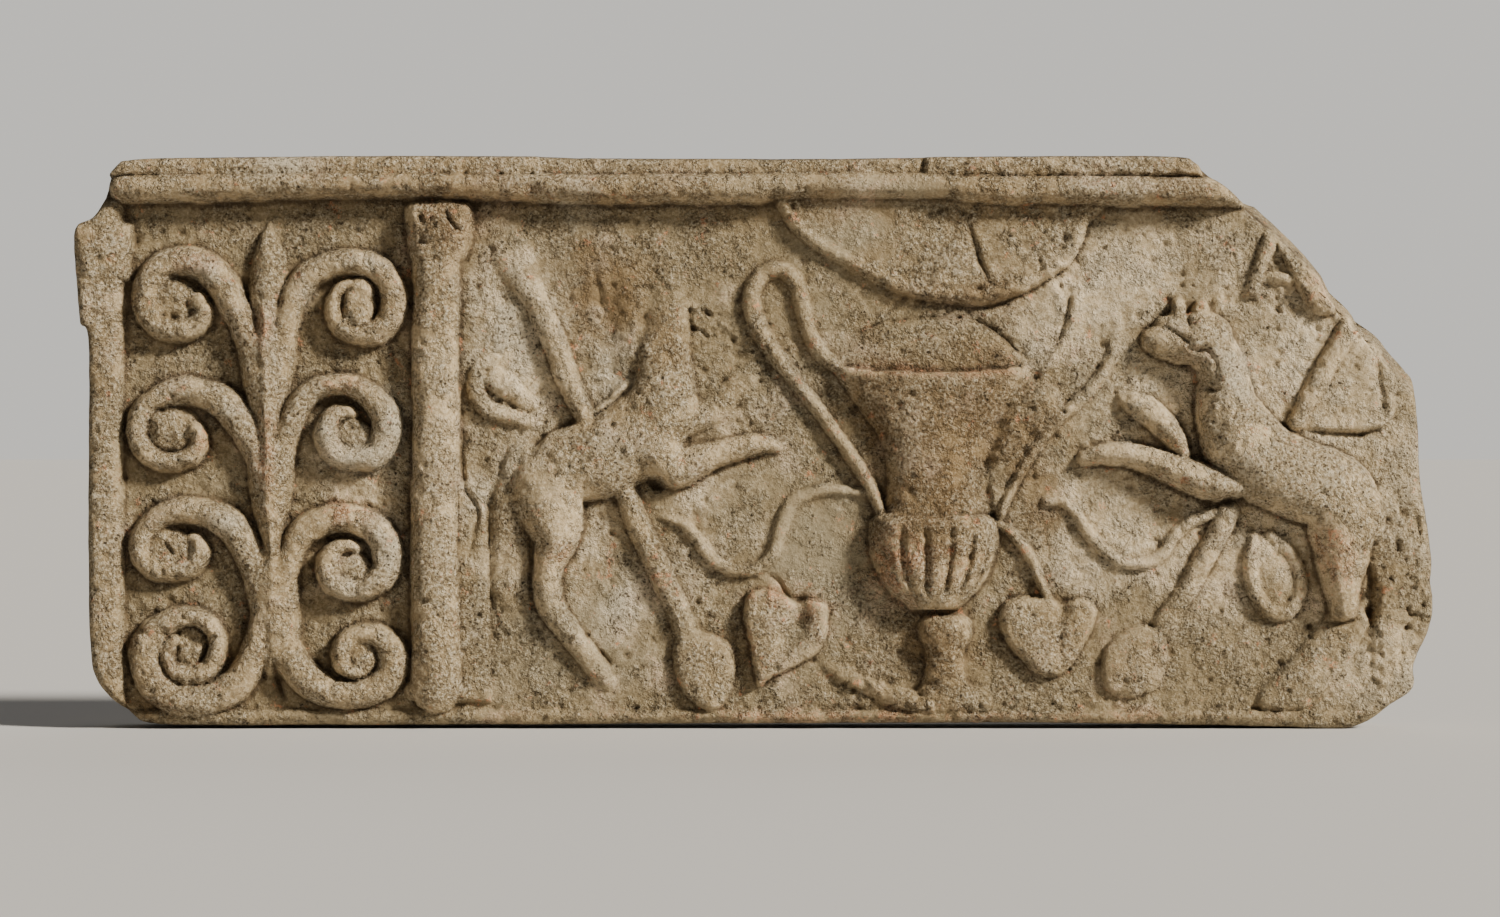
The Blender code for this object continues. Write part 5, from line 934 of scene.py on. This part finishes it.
# Patches of colour, in the drawing's millimetres: (x, z, reach across, reach up, strength).
stains = dict(
    lime=(
        (-98, 42, 13, 13, 1), (-56, 28, 9, 13, 1), (-105, -20, 6, 9, 0.8), (-54, -61, 14, 8, 0.8),
        (-105, -60, 5, 12, 0.8), (-62, -2, 16, 8, 0.35), (-92, -10, 8, 8, 0.6), (-68, 88, 8, 10, 0.7),
        (-139, 8, 6, 14, 1.2), (-150, -5, 15, 6, 1.4), (-140, -44, 8, 14, 1), (-152, -56, 13, 5, 0.9),
        (-165, 5, 5, 8, 1), (-172, 58, 7, 10, 1), (-152, 69, 12, 4, 0.8), (-210, 66, 9, 5, 0.9),
        (-201, 13, 9, 5, 0.8), (-198, -30, 9, 5, 0.8), (-184, 40, 5, 14, 0.7), (184, 26, 8, 16, 0.8),
        (160, 44, 9, 7, 0.6), (226, 34, 6, 8, 0.6), (232, 8, 12, 4, 0.7), (143, 6, 8, 8, 0.5),
        (130, 62, 26, 20, 0.3), (-179, 106, 8, 4, 1.2), (128, -52, 20, 12, 0.4), (104, 30, 10, 16, 0.5),
        (204, 40, 26, 22, 0.4), (214, 22, 10, 12, 0.5), (-88, 60, 10, 10, 0.5), (186, -4, 12, 8, 0.4),
    ),
    wear=(
        (-186, 42, 5, 12, 1), (-186, -8, 4, 30, 0.8), (-158, 23, 10, 5, 1), (-158, -27, 10, 5, 1),
        (-120, 82, 12, 12, 0.45), (72, 28, 30, 3, 1), (58, -42, 16, 14, 1), (76, -46, 10, 14, 0.8),
        (60, -104, 160, 3, 0.8), (3, -58, 8, 5, 0.9), (22, -66, 6, 8, 0.7), (-2, -78, 4, 10, 0.6),
        (222, -40, 10, 14, 0.9), (-78, -42, 8, 7, 1), (-123, -47, 2.4, 3.4, 1), (-85, 96, 4, 3, 0.8),
        (213, 58, 6, 8, 0.9), (-212, 68, 12, 4, 0.9), (-208, 0, 6, 6, 0.7), (-224, -84, 12, 14, 0.5),
        (-36, -52, 3, 5, 0.8), (163, 40, 5, 10, 0.6), (120, -70, 12, 14, 0.4), (-188, 60, 4, 10, 0.6),
        (-234, 68, 3, 2, 0.6), (-237, -76, 3, 4, 0.5), (224, -88, 6, 8, 0.5), (-252, 80, 8, 5, 0.6),
    ),
    brown=(
        (92, 4, 30, 30, 1), (48, 8, 18, 28, 1), (68, -10, 24, 40, 1), (45, -45, 12, 22, 0.9),
        (-62, 56, 18, 22, 0.9), (-60, 96, 240, 7, 0.6), (140, 94, 50, 8, 0.5), (108, -28, 14, 20, 0.5),
        (70, -75, 14, 14, 0.6), (-232, -100, 12, 6, 0.6), (78, 56, 30, 6, 0.7), (-40, 30, 12, 16, 0.3),
        (60, 86, 90, 5, 0.5), (-120, 82, 12, 12, 0.8),
    ),
    grey=(
        (24, -40, 24, 32, 1), (36, 78, 26, 12, 1), (20, 30, 18, 26, 0.7), (42, 97, 34, 7, 0.9),
        (-70, -70, 40, 26, 0.5), (-200, 30, 40, 60, 0.3), (150, 96, 40, 8, 0.3),
    ),
    bleached=(
        (196, 6, 70, 70, 1), (136, 60, 40, 30, 0.8), (140, -30, 40, 30, 0.8), (-88, 34, 26, 36, 0.9),
        (-70, -40, 34, 40, 0.7), (-120, -10, 12, 70, 0.6), (-20, -20, 26, 40, 0.5),
        (-145, -40, 16, 60, 0.5), (238, -88, 26, 22, 0.8),
    ),
)


def colourFace(face, field):
    height = face["rise"]
    cells = round(surface["compared"] / slab["gridStep"])
    soft = softened(height, cells)
    near = (soft - height) * 1000
    far = (softened(height, 4 * cells) - height) * 1000
    # hollowShade: where the relief dips below its surroundings, later painted darker as painted shade.
    face["hollowShade"] = smoothStep(0.62 * near + 0.03 * far)
    # crestWearAndHighlight: where the relief stands above its surroundings; it is painted paler as painted
    # highlight, and the wear gathers there.
    face["crestWearAndHighlight"] = smoothStep(-0.5 * near - 0.06 * far)
    face["raised"] = smoothStep((soft - 0.001) / 0.005)
    patchy = fractalNoise(face["x"], face["z"], surface["patchy"], 4, 91, keep=0.65)
    cloudy = fractalNoise(face["x"], face["z"], surface["cloudy"], 4, 97, keep=0.6)
    worn = field.stain(stains["wear"]) * (0.55 + 0.6 * face["crestWearAndHighlight"])
    face["wear"] = smoothStep(worn + 0.3 * patchy - 0.1)
    # how far the noise frays each stain's edge, and how much the stain shrinks
    frayed = dict(lime=(0.35 * patchy, 0.15), brown=(0.3 * cloudy, 0.05), grey=(-0.3 * cloudy, 0.05),
                  bleached=(0.25 * patchy, 0))
    for name, (fray, shrink) in frayed.items():
        face[name] = smoothStep(field.stain(stains[name]) + fray - shrink)


def outlineSides(columns, rows):
    scale = np.array([slab["width"] / slab["drawnWidth"], slab["height"] / slab["drawnHeight"]])
    counts = dict(bottomSide=columns, topSide=columns, leftSide=rows, rightSide=rows)
    return [evenSteps(smoothLine(slab[side], 6) * scale, count) for side, count in counts.items()]


def faceGrid(sides):  # a grid that follows the outline, blended from its four sides
    lower, upper, start, end = sides
    s = np.linspace(0, 1, len(lower))[:, None, None]
    t = np.linspace(0, 1, len(start))[None, :, None]
    corners = (1 - s) * (1 - t) * lower[0] + s * (1 - t) * lower[-1]
    corners = corners + (1 - s) * t * upper[0] + s * t * upper[-1]
    return (1 - t) * lower[:, None] + t * upper[:, None] + (1 - s) * start[None] + s * end[None] - corners


def rimOrder(columns, rows):  # grid places around the rim, seen from the front against the clock
    low = [column * rows for column in range(columns)]
    right = [(columns - 1) * rows + row for row in range(1, rows)]
    high = [column * rows + rows - 1 for column in range(columns - 2, -1, -1)]
    return low + right + high + list(range(rows - 2, 0, -1))


fracture = dict(  # the walls: plain where the slab ends, sloping and rough where its corner broke off
    cornerFrom=0.335,  # shares of the width and of the height
    cornerLow=0.06,
    cornerHigh=0.43,
    smear=0.0105,
    slope=0.007,
    inset=0.0012,
    sunk=0.001,
    grain=(0.009, 0.0006),
    pits=(0.0065, 0.5, 0.0010),
)


def wallRings(rim, along, depthAtRim):
    outward = np.roll(rim, -1, axis=0) - np.roll(rim, 1, axis=0)
    outward = np.column_stack([outward[:, 1], -outward[:, 0]])
    outward /= np.maximum(np.hypot(*outward.T), 1e-9)[:, None]
    x, z = rim[:, 0] / slab["width"], rim[:, 1] / slab["height"]
    corner = (x > fracture["cornerFrom"]) & (z > fracture["cornerLow"]) & (z < fracture["cornerHigh"])
    width = 2 * round(fracture["smear"] / slab["gridStep"]) + 1
    smear = np.convolve(np.tile(corner, 3).astype(float), np.ones(width) / width, mode="same")
    broken = smear[len(rim):2 * len(rim)]
    rings = []
    for ring in range(1, slab["wallRings"] + 1):
        share = ring / slab["wallRings"]
        depth = depthAtRim * (1 - share)
        spread = fracture["slope"] * broken * share**0.7 - fracture["inset"] * (1 - broken) * share
        uneven = fractalNoise(along * 1.4 + depth, depth * 1.6 + along * 0.2, fracture["grain"], 3, 31)
        uneven = uneven - fracture["sunk"] - pitNoise(along + 3, depth + 3, fracture["pits"], 37)
        place = rim + outward * (spread + uneven * math.sin(math.pi * min(share, 0.92)))[:, None]
        rings.append(np.column_stack([place[:, 0], -depth, place[:, 1]]))
    return rings


def joinFaces(columns, rows, rim):
    faces = []
    for a in range(0, (columns - 1) * rows, rows):
        faces += [(a + row, a + rows + row, a + rows + row + 1, a + row + 1) for row in range(rows - 1)]
    start, count = columns * rows, len(rim)
    upper = rim.tolist()
    for ring in range(slab["wallRings"]):
        lower = list(range(start, start + count))
        faces += [(upper[i], lower[i], lower[i - count + 1], upper[i - count + 1]) for i in range(count)]
        upper = lower
        start += count
    # the back: a coarser grid whose border cells take in every point of the last ring
    step = slab["backStep"]
    wide, tall = columns // step + 1, rows // step + 1
    places = np.zeros((wide, tall), int)
    places[1:-1, 1:-1] = start + np.arange((wide - 2) * (tall - 2)).reshape(wide - 2, tall - 2)
    places = places.reshape(-1).tolist()
    order = rimOrder(wide, tall)
    between = {}
    for i, (place, after) in enumerate(zip(order, order[1:] + order[:1])):
        places[place] = upper[i * step]
        between[place, after] = upper[i * step + 1:(i + 1) * step]
        between[after, place] = between[place, after][::-1]
    for column in range(0, (wide - 1) * tall, tall):
        for a in range(column, column + tall - 1):
            loop = (a, a + 1, a + tall + 1, a + tall)
            corners = []
            for place, after in zip(loop, loop[1:] + loop[:1]):
                corners += [places[place]] + between.get((place, after), [])
            faces.append(tuple(corners))
    return faces


def backGrid(last, columns, rows):  # the back's inner points, blended from the last ring of the walls
    step = slab["backStep"]
    sides = [last[:columns:step], last[columns + rows - 2:2 * columns + rows - 2][::-1][::step]]
    sides.append(np.vstack([last[:1], last[:2 * columns + rows - 4:-1]])[::step])
    sides.append(last[columns - 1:columns + rows - 1:step])
    back = faceGrid(sides)
    dip = slab["backDip"] * (1 + fractalNoise(back[..., 0], back[..., 1], slab["backWave"], 3, 111))
    return np.stack([back[..., 0], -np.maximum(dip, 0), back[..., 1]], axis=-1)[1:-1, 1:-1].reshape(-1, 3)


def keepMarks(mesh, face, rim):  # what the paint reads: it fades down the walls to a plain back
    rings, count = slab["wallRings"], len(rim)
    for name in ("hollowShade", "crestWearAndHighlight", "raised", "lime", "wear", "brown", "grey", "bleached", "mended"):
        plain = 0.6 if name == "raised" else 0.0
        mark = face[name].reshape(-1)
        kept = np.full(len(mesh.vertices), plain, np.float32)
        kept[:len(mark)] = mark
        fade = 1 - np.arange(1, rings + 1)[:, None] / rings
        kept[len(mark):len(mark) + rings * count] = (plain + (kept[rim] - plain) * fade).reshape(-1)
        mesh.attributes.new(name, "FLOAT", "POINT").data.foreach_set("value", kept)


def buildPlaque():
    step = slab["backStep"]
    columns, rows = (step * round(slab[size] / slab["gridStep"] / step) + 1 for size in ("width", "height"))
    sides = outlineSides(columns, rows)
    grid = faceGrid(sides)
    outline = np.vstack([sides[0], sides[3], sides[1][::-1], sides[2][::-1]])[::3]
    face = {"x": grid[..., 0], "z": grid[..., 1]}
    field = modelFace(face, outline)
    colourFace(face, field)
    print("relief modelled on", columns, "by", rows, "points")

    front = np.stack([face["x"], -(slab["thickness"] + face["rise"]), face["z"]], axis=-1).reshape(-1, 3)
    rim = np.array(rimOrder(columns, rows))
    loose = grid.reshape(-1, 2)[rim]
    rings = wallRings(loose, lengthAlong(loose), -front[rim, 1])
    back = backGrid(rings[-1][:, [0, 2]], columns, rows)
    mesh = bpy.data.meshes.new("clay")
    mesh.from_pydata(np.vstack([front, *rings, back]).tolist(), [], joinFaces(columns, rows, rim))
    keepMarks(mesh, face, rim)
    return addObject("relief_plaque", mesh)


def thinOut(piece):  # small faces stay where the relief turns, large ones where it is flat
    dense = piece.data
    dense.calc_loop_triangles()
    thin = piece.modifiers.new("thinOut", "DECIMATE")
    thin.ratio = min(1.0, slab["mostTriangles"] / len(dense.loop_triangles))
    graph = bpy.context.evaluated_depsgraph_get()
    mesh = bpy.data.meshes.new_from_object(piece.evaluated_get(graph), depsgraph=graph)
    mesh.name = "clayRelief"
    piece.modifiers.remove(thin)
    piece.data = mesh
    bpy.data.meshes.remove(dense)
    mesh.polygons.foreach_set("use_smooth", [True] * len(mesh.polygons))
    places = np.empty(3 * len(mesh.vertices))
    mesh.vertices.foreach_get("co", places)
    places = np.clip(places.reshape(-1, 3), cadBox[0], cadBox[1])  # no grain stands out of the solid's box
    mesh.vertices.foreach_set("co", places.reshape(-1))
    mesh.update()
    print("relief thinned to", len(mesh.polygons), "faces")


plaque = buildPlaque()
thinOut(plaque)


class Sock:  # a node's output, for writing shader maths as an expression
    def __init__(self, mat, socket):
        self.mat = mat
        self.socket = socket

    def math(self, operation, first, second):
        return self.mat.node("ShaderNodeMath", dict(operation=operation), {0: first, 1: second})

    def __add__(self, other):
        return self.math("ADD", self, other)

    def __sub__(self, other):
        return self.math("SUBTRACT", self, other)

    def __rsub__(self, other):
        return self.math("SUBTRACT", other, self)

    def __mul__(self, other):
        return self.math("MULTIPLY", self, other)

    __radd__ = __add__
    __rmul__ = __mul__


class Tree:  # the nodes of a material or a world
    def __init__(self, owner, shader):
        owner.use_nodes = True
        self.nodes, self.links = owner.node_tree.nodes, owner.node_tree.links
        self.shader = self.nodes[shader]

    def node(self, kind, settings, inputs, output=0):  # settings first, then each socket's value or link
        made = self.nodes.new(kind)
        for key, value in settings.items():
            setattr(made, key, value)
        for key, value in inputs.items():
            self.put(made.inputs[key], value)
        return Sock(self, made.outputs[output])

    def dress(self, values):  # the shader's own sockets
        for name, value in values.items():
            self.put(self.shader.inputs[name], value)

    def put(self, socket, value):
        if isinstance(value, Sock):
            self.links.new(value.socket, socket)
        elif isinstance(value, tuple) and socket.type == "RGBA":
            socket.default_value = (*value, 1)
        else:
            socket.default_value = value

    def place(self):
        return self.node("ShaderNodeTexCoord", {}, {}, output="Object")

    def noise(self, size, detail, roughness, offset):
        shift = (offset, offset * 0.7, -offset)
        spot = self.node("ShaderNodeMapping", {}, {"Vector": self.place(), "Location": shift})
        inputs = {"Vector": spot, "Scale": 1 / size, "Detail": detail, "Roughness": roughness}
        return self.node("ShaderNodeTexNoise", {}, inputs)

    def pushed(self, size, reach):  # the place on the clay, pushed about by up to this reach
        place = self.place()
        inputs = {"Vector": place, "Scale": 1 / size, "Detail": 2}
        push = self.node("ShaderNodeTexNoise", {}, inputs, output=1)
        centred = self.node("ShaderNodeVectorMath", dict(operation="SUBTRACT"), {0: push, 1: (0.5, 0.5, 0.5)})
        scaled = self.node("ShaderNodeVectorMath", dict(operation="SCALE"), {0: centred, 3: reach})
        return self.node("ShaderNodeVectorMath", dict(operation="ADD"), {0: place, 1: scaled})

    def cells(self, spot, size, feature="F1"):
        return self.node("ShaderNodeTexVoronoi", dict(feature=feature), {"Vector": spot, "Scale": 1 / size})

    def between(self, value, low, high, start=0.0, end=1.0):  # value from low to high becomes start to end
        settings = dict(interpolation_type="SMOOTHSTEP", clamp=True)
        inputs = {"Value": value, "From Min": low, "From Max": high, "To Min": start, "To Max": end}
        return self.node("ShaderNodeMapRange", settings, inputs)

    def mix(self, share, a, b):
        settings = dict(data_type="RGBA", clamp_factor=True)
        return self.node("ShaderNodeMix", settings, {0: share, 6: a, 7: b}, output=2)

    def attribute(self, name):
        return self.node("ShaderNodeAttribute", dict(attribute_name=name), {}, output=2)


# The clay's colours (linear), and the sizes of its grain, pits and cracks in metres.
clay = dict(
    pale=(0.58, 0.445, 0.262),
    buff=(0.32, 0.232, 0.122),
    olive=(0.240, 0.188, 0.104),
    # a dark brown, for darker patches of tone and as painted shade in hollows
    deep=(0.125, 0.082, 0.038),
    # the darkest brown, for dark grains, pits and cracks, and as painted shade in the deepest hollows
    darkAndShade=(0.060, 0.038, 0.018),
    brown=(0.21, 0.128, 0.052),
    grey=(0.315, 0.268, 0.172),
    lime=(0.92, 0.80, 0.575),
    wear=(0.58, 0.29, 0.145),
    spark=(0.62, 0.27, 0.13),
    roughness=0.9,
    specular=0.3,
    noises=dict(  # size, detail, roughness, offset
        broad=(0.040, 4, 0.6, 0),
        medium=(0.009, 5, 0.68, 0.3),
        gritty=(0.0027, 6, 0.80, 0.7),
        grain=(0.0013, 3, 0.7, 1.3),
        cracked=(0.014, 3, 0.6, 2.1),
        reddish=(0.007, 4, 0.7, 3.3),
    ),
    bent=(0.0035, 0.0034),  # the size of the bends, and how far they reach
    wayward=(0.012, 0.006),
    grainDepth=0.0042,
    pits=0.0026,
    finePits=0.0019,
    flecks=0.0025,
    hairCracks=0.030,
)


def firedClay():
    material = bpy.data.materials.new("firedClay")
    mat = Tree(material, "Principled BSDF")
    hollowShade, crestWearAndHighlight, raised = (mat.attribute(name) for name in ("hollowShade", "crestWearAndHighlight", "raised"))
    lime, wear, brown = (mat.attribute(name) for name in ("lime", "wear", "brown"))
    grey, bleached, mended = (mat.attribute(name) for name in ("grey", "bleached", "mended"))
    broad, medium, gritty, grain, cracked, reddish = (mat.noise(*row) for row in clay["noises"].values())
    bent = mat.pushed(*clay["bent"])
    wayward = mat.pushed(*clay["wayward"])
    calm = 1 - mended * 0.45

    grit = medium * 0.6 + broad * 0.4 + lime * 0.03 + raised * 0.04 - crestWearAndHighlight * 0.08
    rugged = mat.between(grit, 0.45, 0.57, 0.35, 1.1) * calm
    crust = mat.between(medium * 0.7 + broad * 0.3 + raised * 0.06 + lime * 0.08, 0.52, 0.62) * calm
    pits = mat.between(mat.cells(bent, clay["pits"]), 0.34, 0.14) * mat.between(medium, 0.54, 0.62) * calm
    finePits = mat.between(mat.cells(bent, clay["finePits"]), 0.32, 0.18)
    finePits = finePits * mat.between(gritty, 0.44, 0.54) * rugged
    flecks = mat.between(mat.cells(wayward, clay["flecks"]), 0.28, 0.14)
    flecks = flecks * mat.between(gritty, 0.47, 0.57) * rugged
    edge = mat.cells(wayward, clay["hairCracks"], "DISTANCE_TO_EDGE")
    hairs = mat.between(edge, 0.012, 0.0) * mat.between(cracked, 0.59, 0.63)
    # how much the pale specks show: more on raised parts, less on brown stains, and less in hollows as
    # painted shade
    specksOutOfShade = (raised * 0.5 + 0.5) * (1 - hollowShade * 0.8) * (1 - brown * 0.6)
    # darker where the grit is low and paler where it is high: partly the clay's own speckle, partly painted
    # shade and highlight of the grit
    sunken = mat.between(gritty, 0.46, 0.34) * (rugged * 0.6 + crust * 0.4)
    proud = mat.between(gritty, 0.51, 0.65) * (rugged * 0.5 + crust * 0.4) * specksOutOfShade
    washed = bleached * mat.between(medium * 0.45 + gritty * 0.55, 0.42, 0.56, 0.1, 1.0) * (1 - raised * 0.9)
    red = mat.between(gritty, 0.49, 0.55) * mat.between(reddish, 0.60, 0.66)
    tone = broad * 0.45 + medium * 0.35 + gritty * 0.2 + bleached * 0.24 + raised * 0.05 - brown * 0.04

    layers = (  # how much of each colour lies over the ones before it
        (mat.between(tone, 0.45, 0.69), "pale"),
        ((1 - raised) * (1 - bleached) * 0.7, "olive"),
        (brown * mat.between(medium, 0.25, 0.6, 0.4, 1.0) * 0.85, "brown"),
        (grey * 0.75, "grey"),
        (mat.between(tone, 0.44, 0.32) * 0.4, "deep"),
        # painted shade: hollows of the relief darker
        (hollowShade * mat.between(medium, 0.2, 0.6, 0.4, 0.9), "deep"),
        # painted shade: the deepest hollows darkest
        (mat.between(hollowShade, 0.45, 1.0) * 0.45, "darkAndShade"),
        # painted highlight: crests of the relief paler
        (crestWearAndHighlight * (1 - brown * 0.7) * 0.55, "pale"),
        (lime * mat.between(gritty * 0.5 + medium * 0.5, 0.44, 0.56, 0.3, 1.0) * 0.85, "lime"),
        (washed * (1 - hollowShade) * 0.55, "lime"),
        (proud * 0.5, "lime"),
        (wear * mat.between(gritty * 0.6 + medium * 0.4, 0.46, 0.52) * 0.85, "wear"),
        # pale specks on the grain's high points: partly the clay's own flecks, partly painted highlight of
        # the grain
        (mat.between(grain, 0.50, 0.62) * rugged * specksOutOfShade * 0.7, "lime"),
        (flecks * specksOutOfShade * 0.9, "lime"),
        (red * 0.7, "spark"),
        # dark specks in the grain's low points: partly the clay's own dark grains, partly painted shade of
        # the grain
        (mat.between(grain, 0.48, 0.37) * (rugged * 0.45 + 0.12), "darkAndShade"),
        (sunken * 0.55, "darkAndShade"),
        (pits * 0.7, "darkAndShade"),
        (finePits * 0.8, "darkAndShade"),
        (hairs * 0.5, "darkAndShade"),
    )
    colour = clay["buff"]
    for share, tint in layers:
        colour = mat.mix(share, colour, clay[tint])

    relief = medium * 0.30 + gritty * (crust * 0.4 + rugged * 0.3 + 0.05) + grain * rugged * 0.3
    relief = relief * (0.35 + calm * 0.65) - pits * 0.35 - finePits * 0.15
    bump = mat.node("ShaderNodeBump", {}, {"Height": relief, "Distance": clay["grainDepth"], "Strength": 1.0})
    mat.dress({"Base Color": colour, "Normal": bump, "Roughness": clay["roughness"] - crestWearAndHighlight * 0.12,
               "Specular IOR Level": clay["specular"]})
    return material


plaque.data.materials.clear()
plaque.data.materials.append(firedClay())
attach(plaque, "root")
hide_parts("plaque")
print("clay painted")


# A pale floor, one soft key light from the upper right, weak lights from the left and behind, the camera.
studio = dict(
    floor=(0.598, 0.589, 0.573),
    floorReach=400.0,
    horizon=(0.715, 0.695, 0.655),  # what the camera sees past the floor
    ambient=(0.038, 0.038, 0.041),
    lights=dict(
        key=dict(place=(1.28, -0.80, 0.93), strength=6.5, angle=11, colour=(1.0, 0.94, 0.84)),
        fill=dict(place=(-1.0, -1.6, 0.3), strength=0.10, angle=60, colour=(0.92, 0.96, 1.0)),
        back=dict(place=(0.5, 1.5, 0.7), strength=1.0, angle=60, colour=(1.0, 0.97, 0.92)),
    ),
    lens=100,
    distance=1.591,  # from the camera to the relief
    relief=0.006,
    lookAt=(-0.0019, -0.0061),
)


def addLight(name, place, strength, angle, colour):
    data = bpy.data.lights.new(name, "SUN")
    data.energy = strength
    data.angle = math.radians(angle)
    data.color = colour
    addObject(name, data).rotation_euler = (-Vector(place)).to_track_quat("-Z", "Y").to_euler()


def addFloor(low):
    reach = studio["floorReach"]
    mesh = bpy.data.meshes.new("floor")
    corners = [(x * reach, y * reach, low) for x, y in ((-1, -1), (1, -1), (1, 1), (-1, 1))]
    mesh.from_pydata(corners, [], [(0, 1, 2, 3)])
    material = bpy.data.materials.new("paleFloor")
    paint = Tree(material, "Principled BSDF")
    paint.dress({"Base Color": studio["floor"], "Roughness": 1.0, "Specular IOR Level": 0.0})
    mesh.materials.append(material)
    addObject("floor", mesh)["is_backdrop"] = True


def addWorld():
    world = bpy.data.worlds.new("studio")
    sky = Tree(world, "Background")
    seen = sky.node("ShaderNodeLightPath", {}, {}, output="Is Camera Ray")
    sky.dress({"Color": sky.mix(seen, studio["ambient"], studio["horizon"])})
    bpy.context.scene.world = world


def addCamera():
    data = bpy.data.cameras.new("camera")
    data.lens = studio["lens"]
    data.sensor_width = 36
    data.clip_start = 0.05
    data.clip_end = 1000
    camera = addObject("camera", data)
    x, z = studio["lookAt"]
    camera.location = (x, -slab["thickness"] - studio["relief"] - studio["distance"], z)
    camera.rotation_euler = (math.pi / 2, 0, 0)
    bpy.context.scene.camera = camera


addFloor(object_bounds()[0][2])
for name, light in studio["lights"].items():
    addLight(name, **light)
addWorld()
addCamera()
print("studio set")
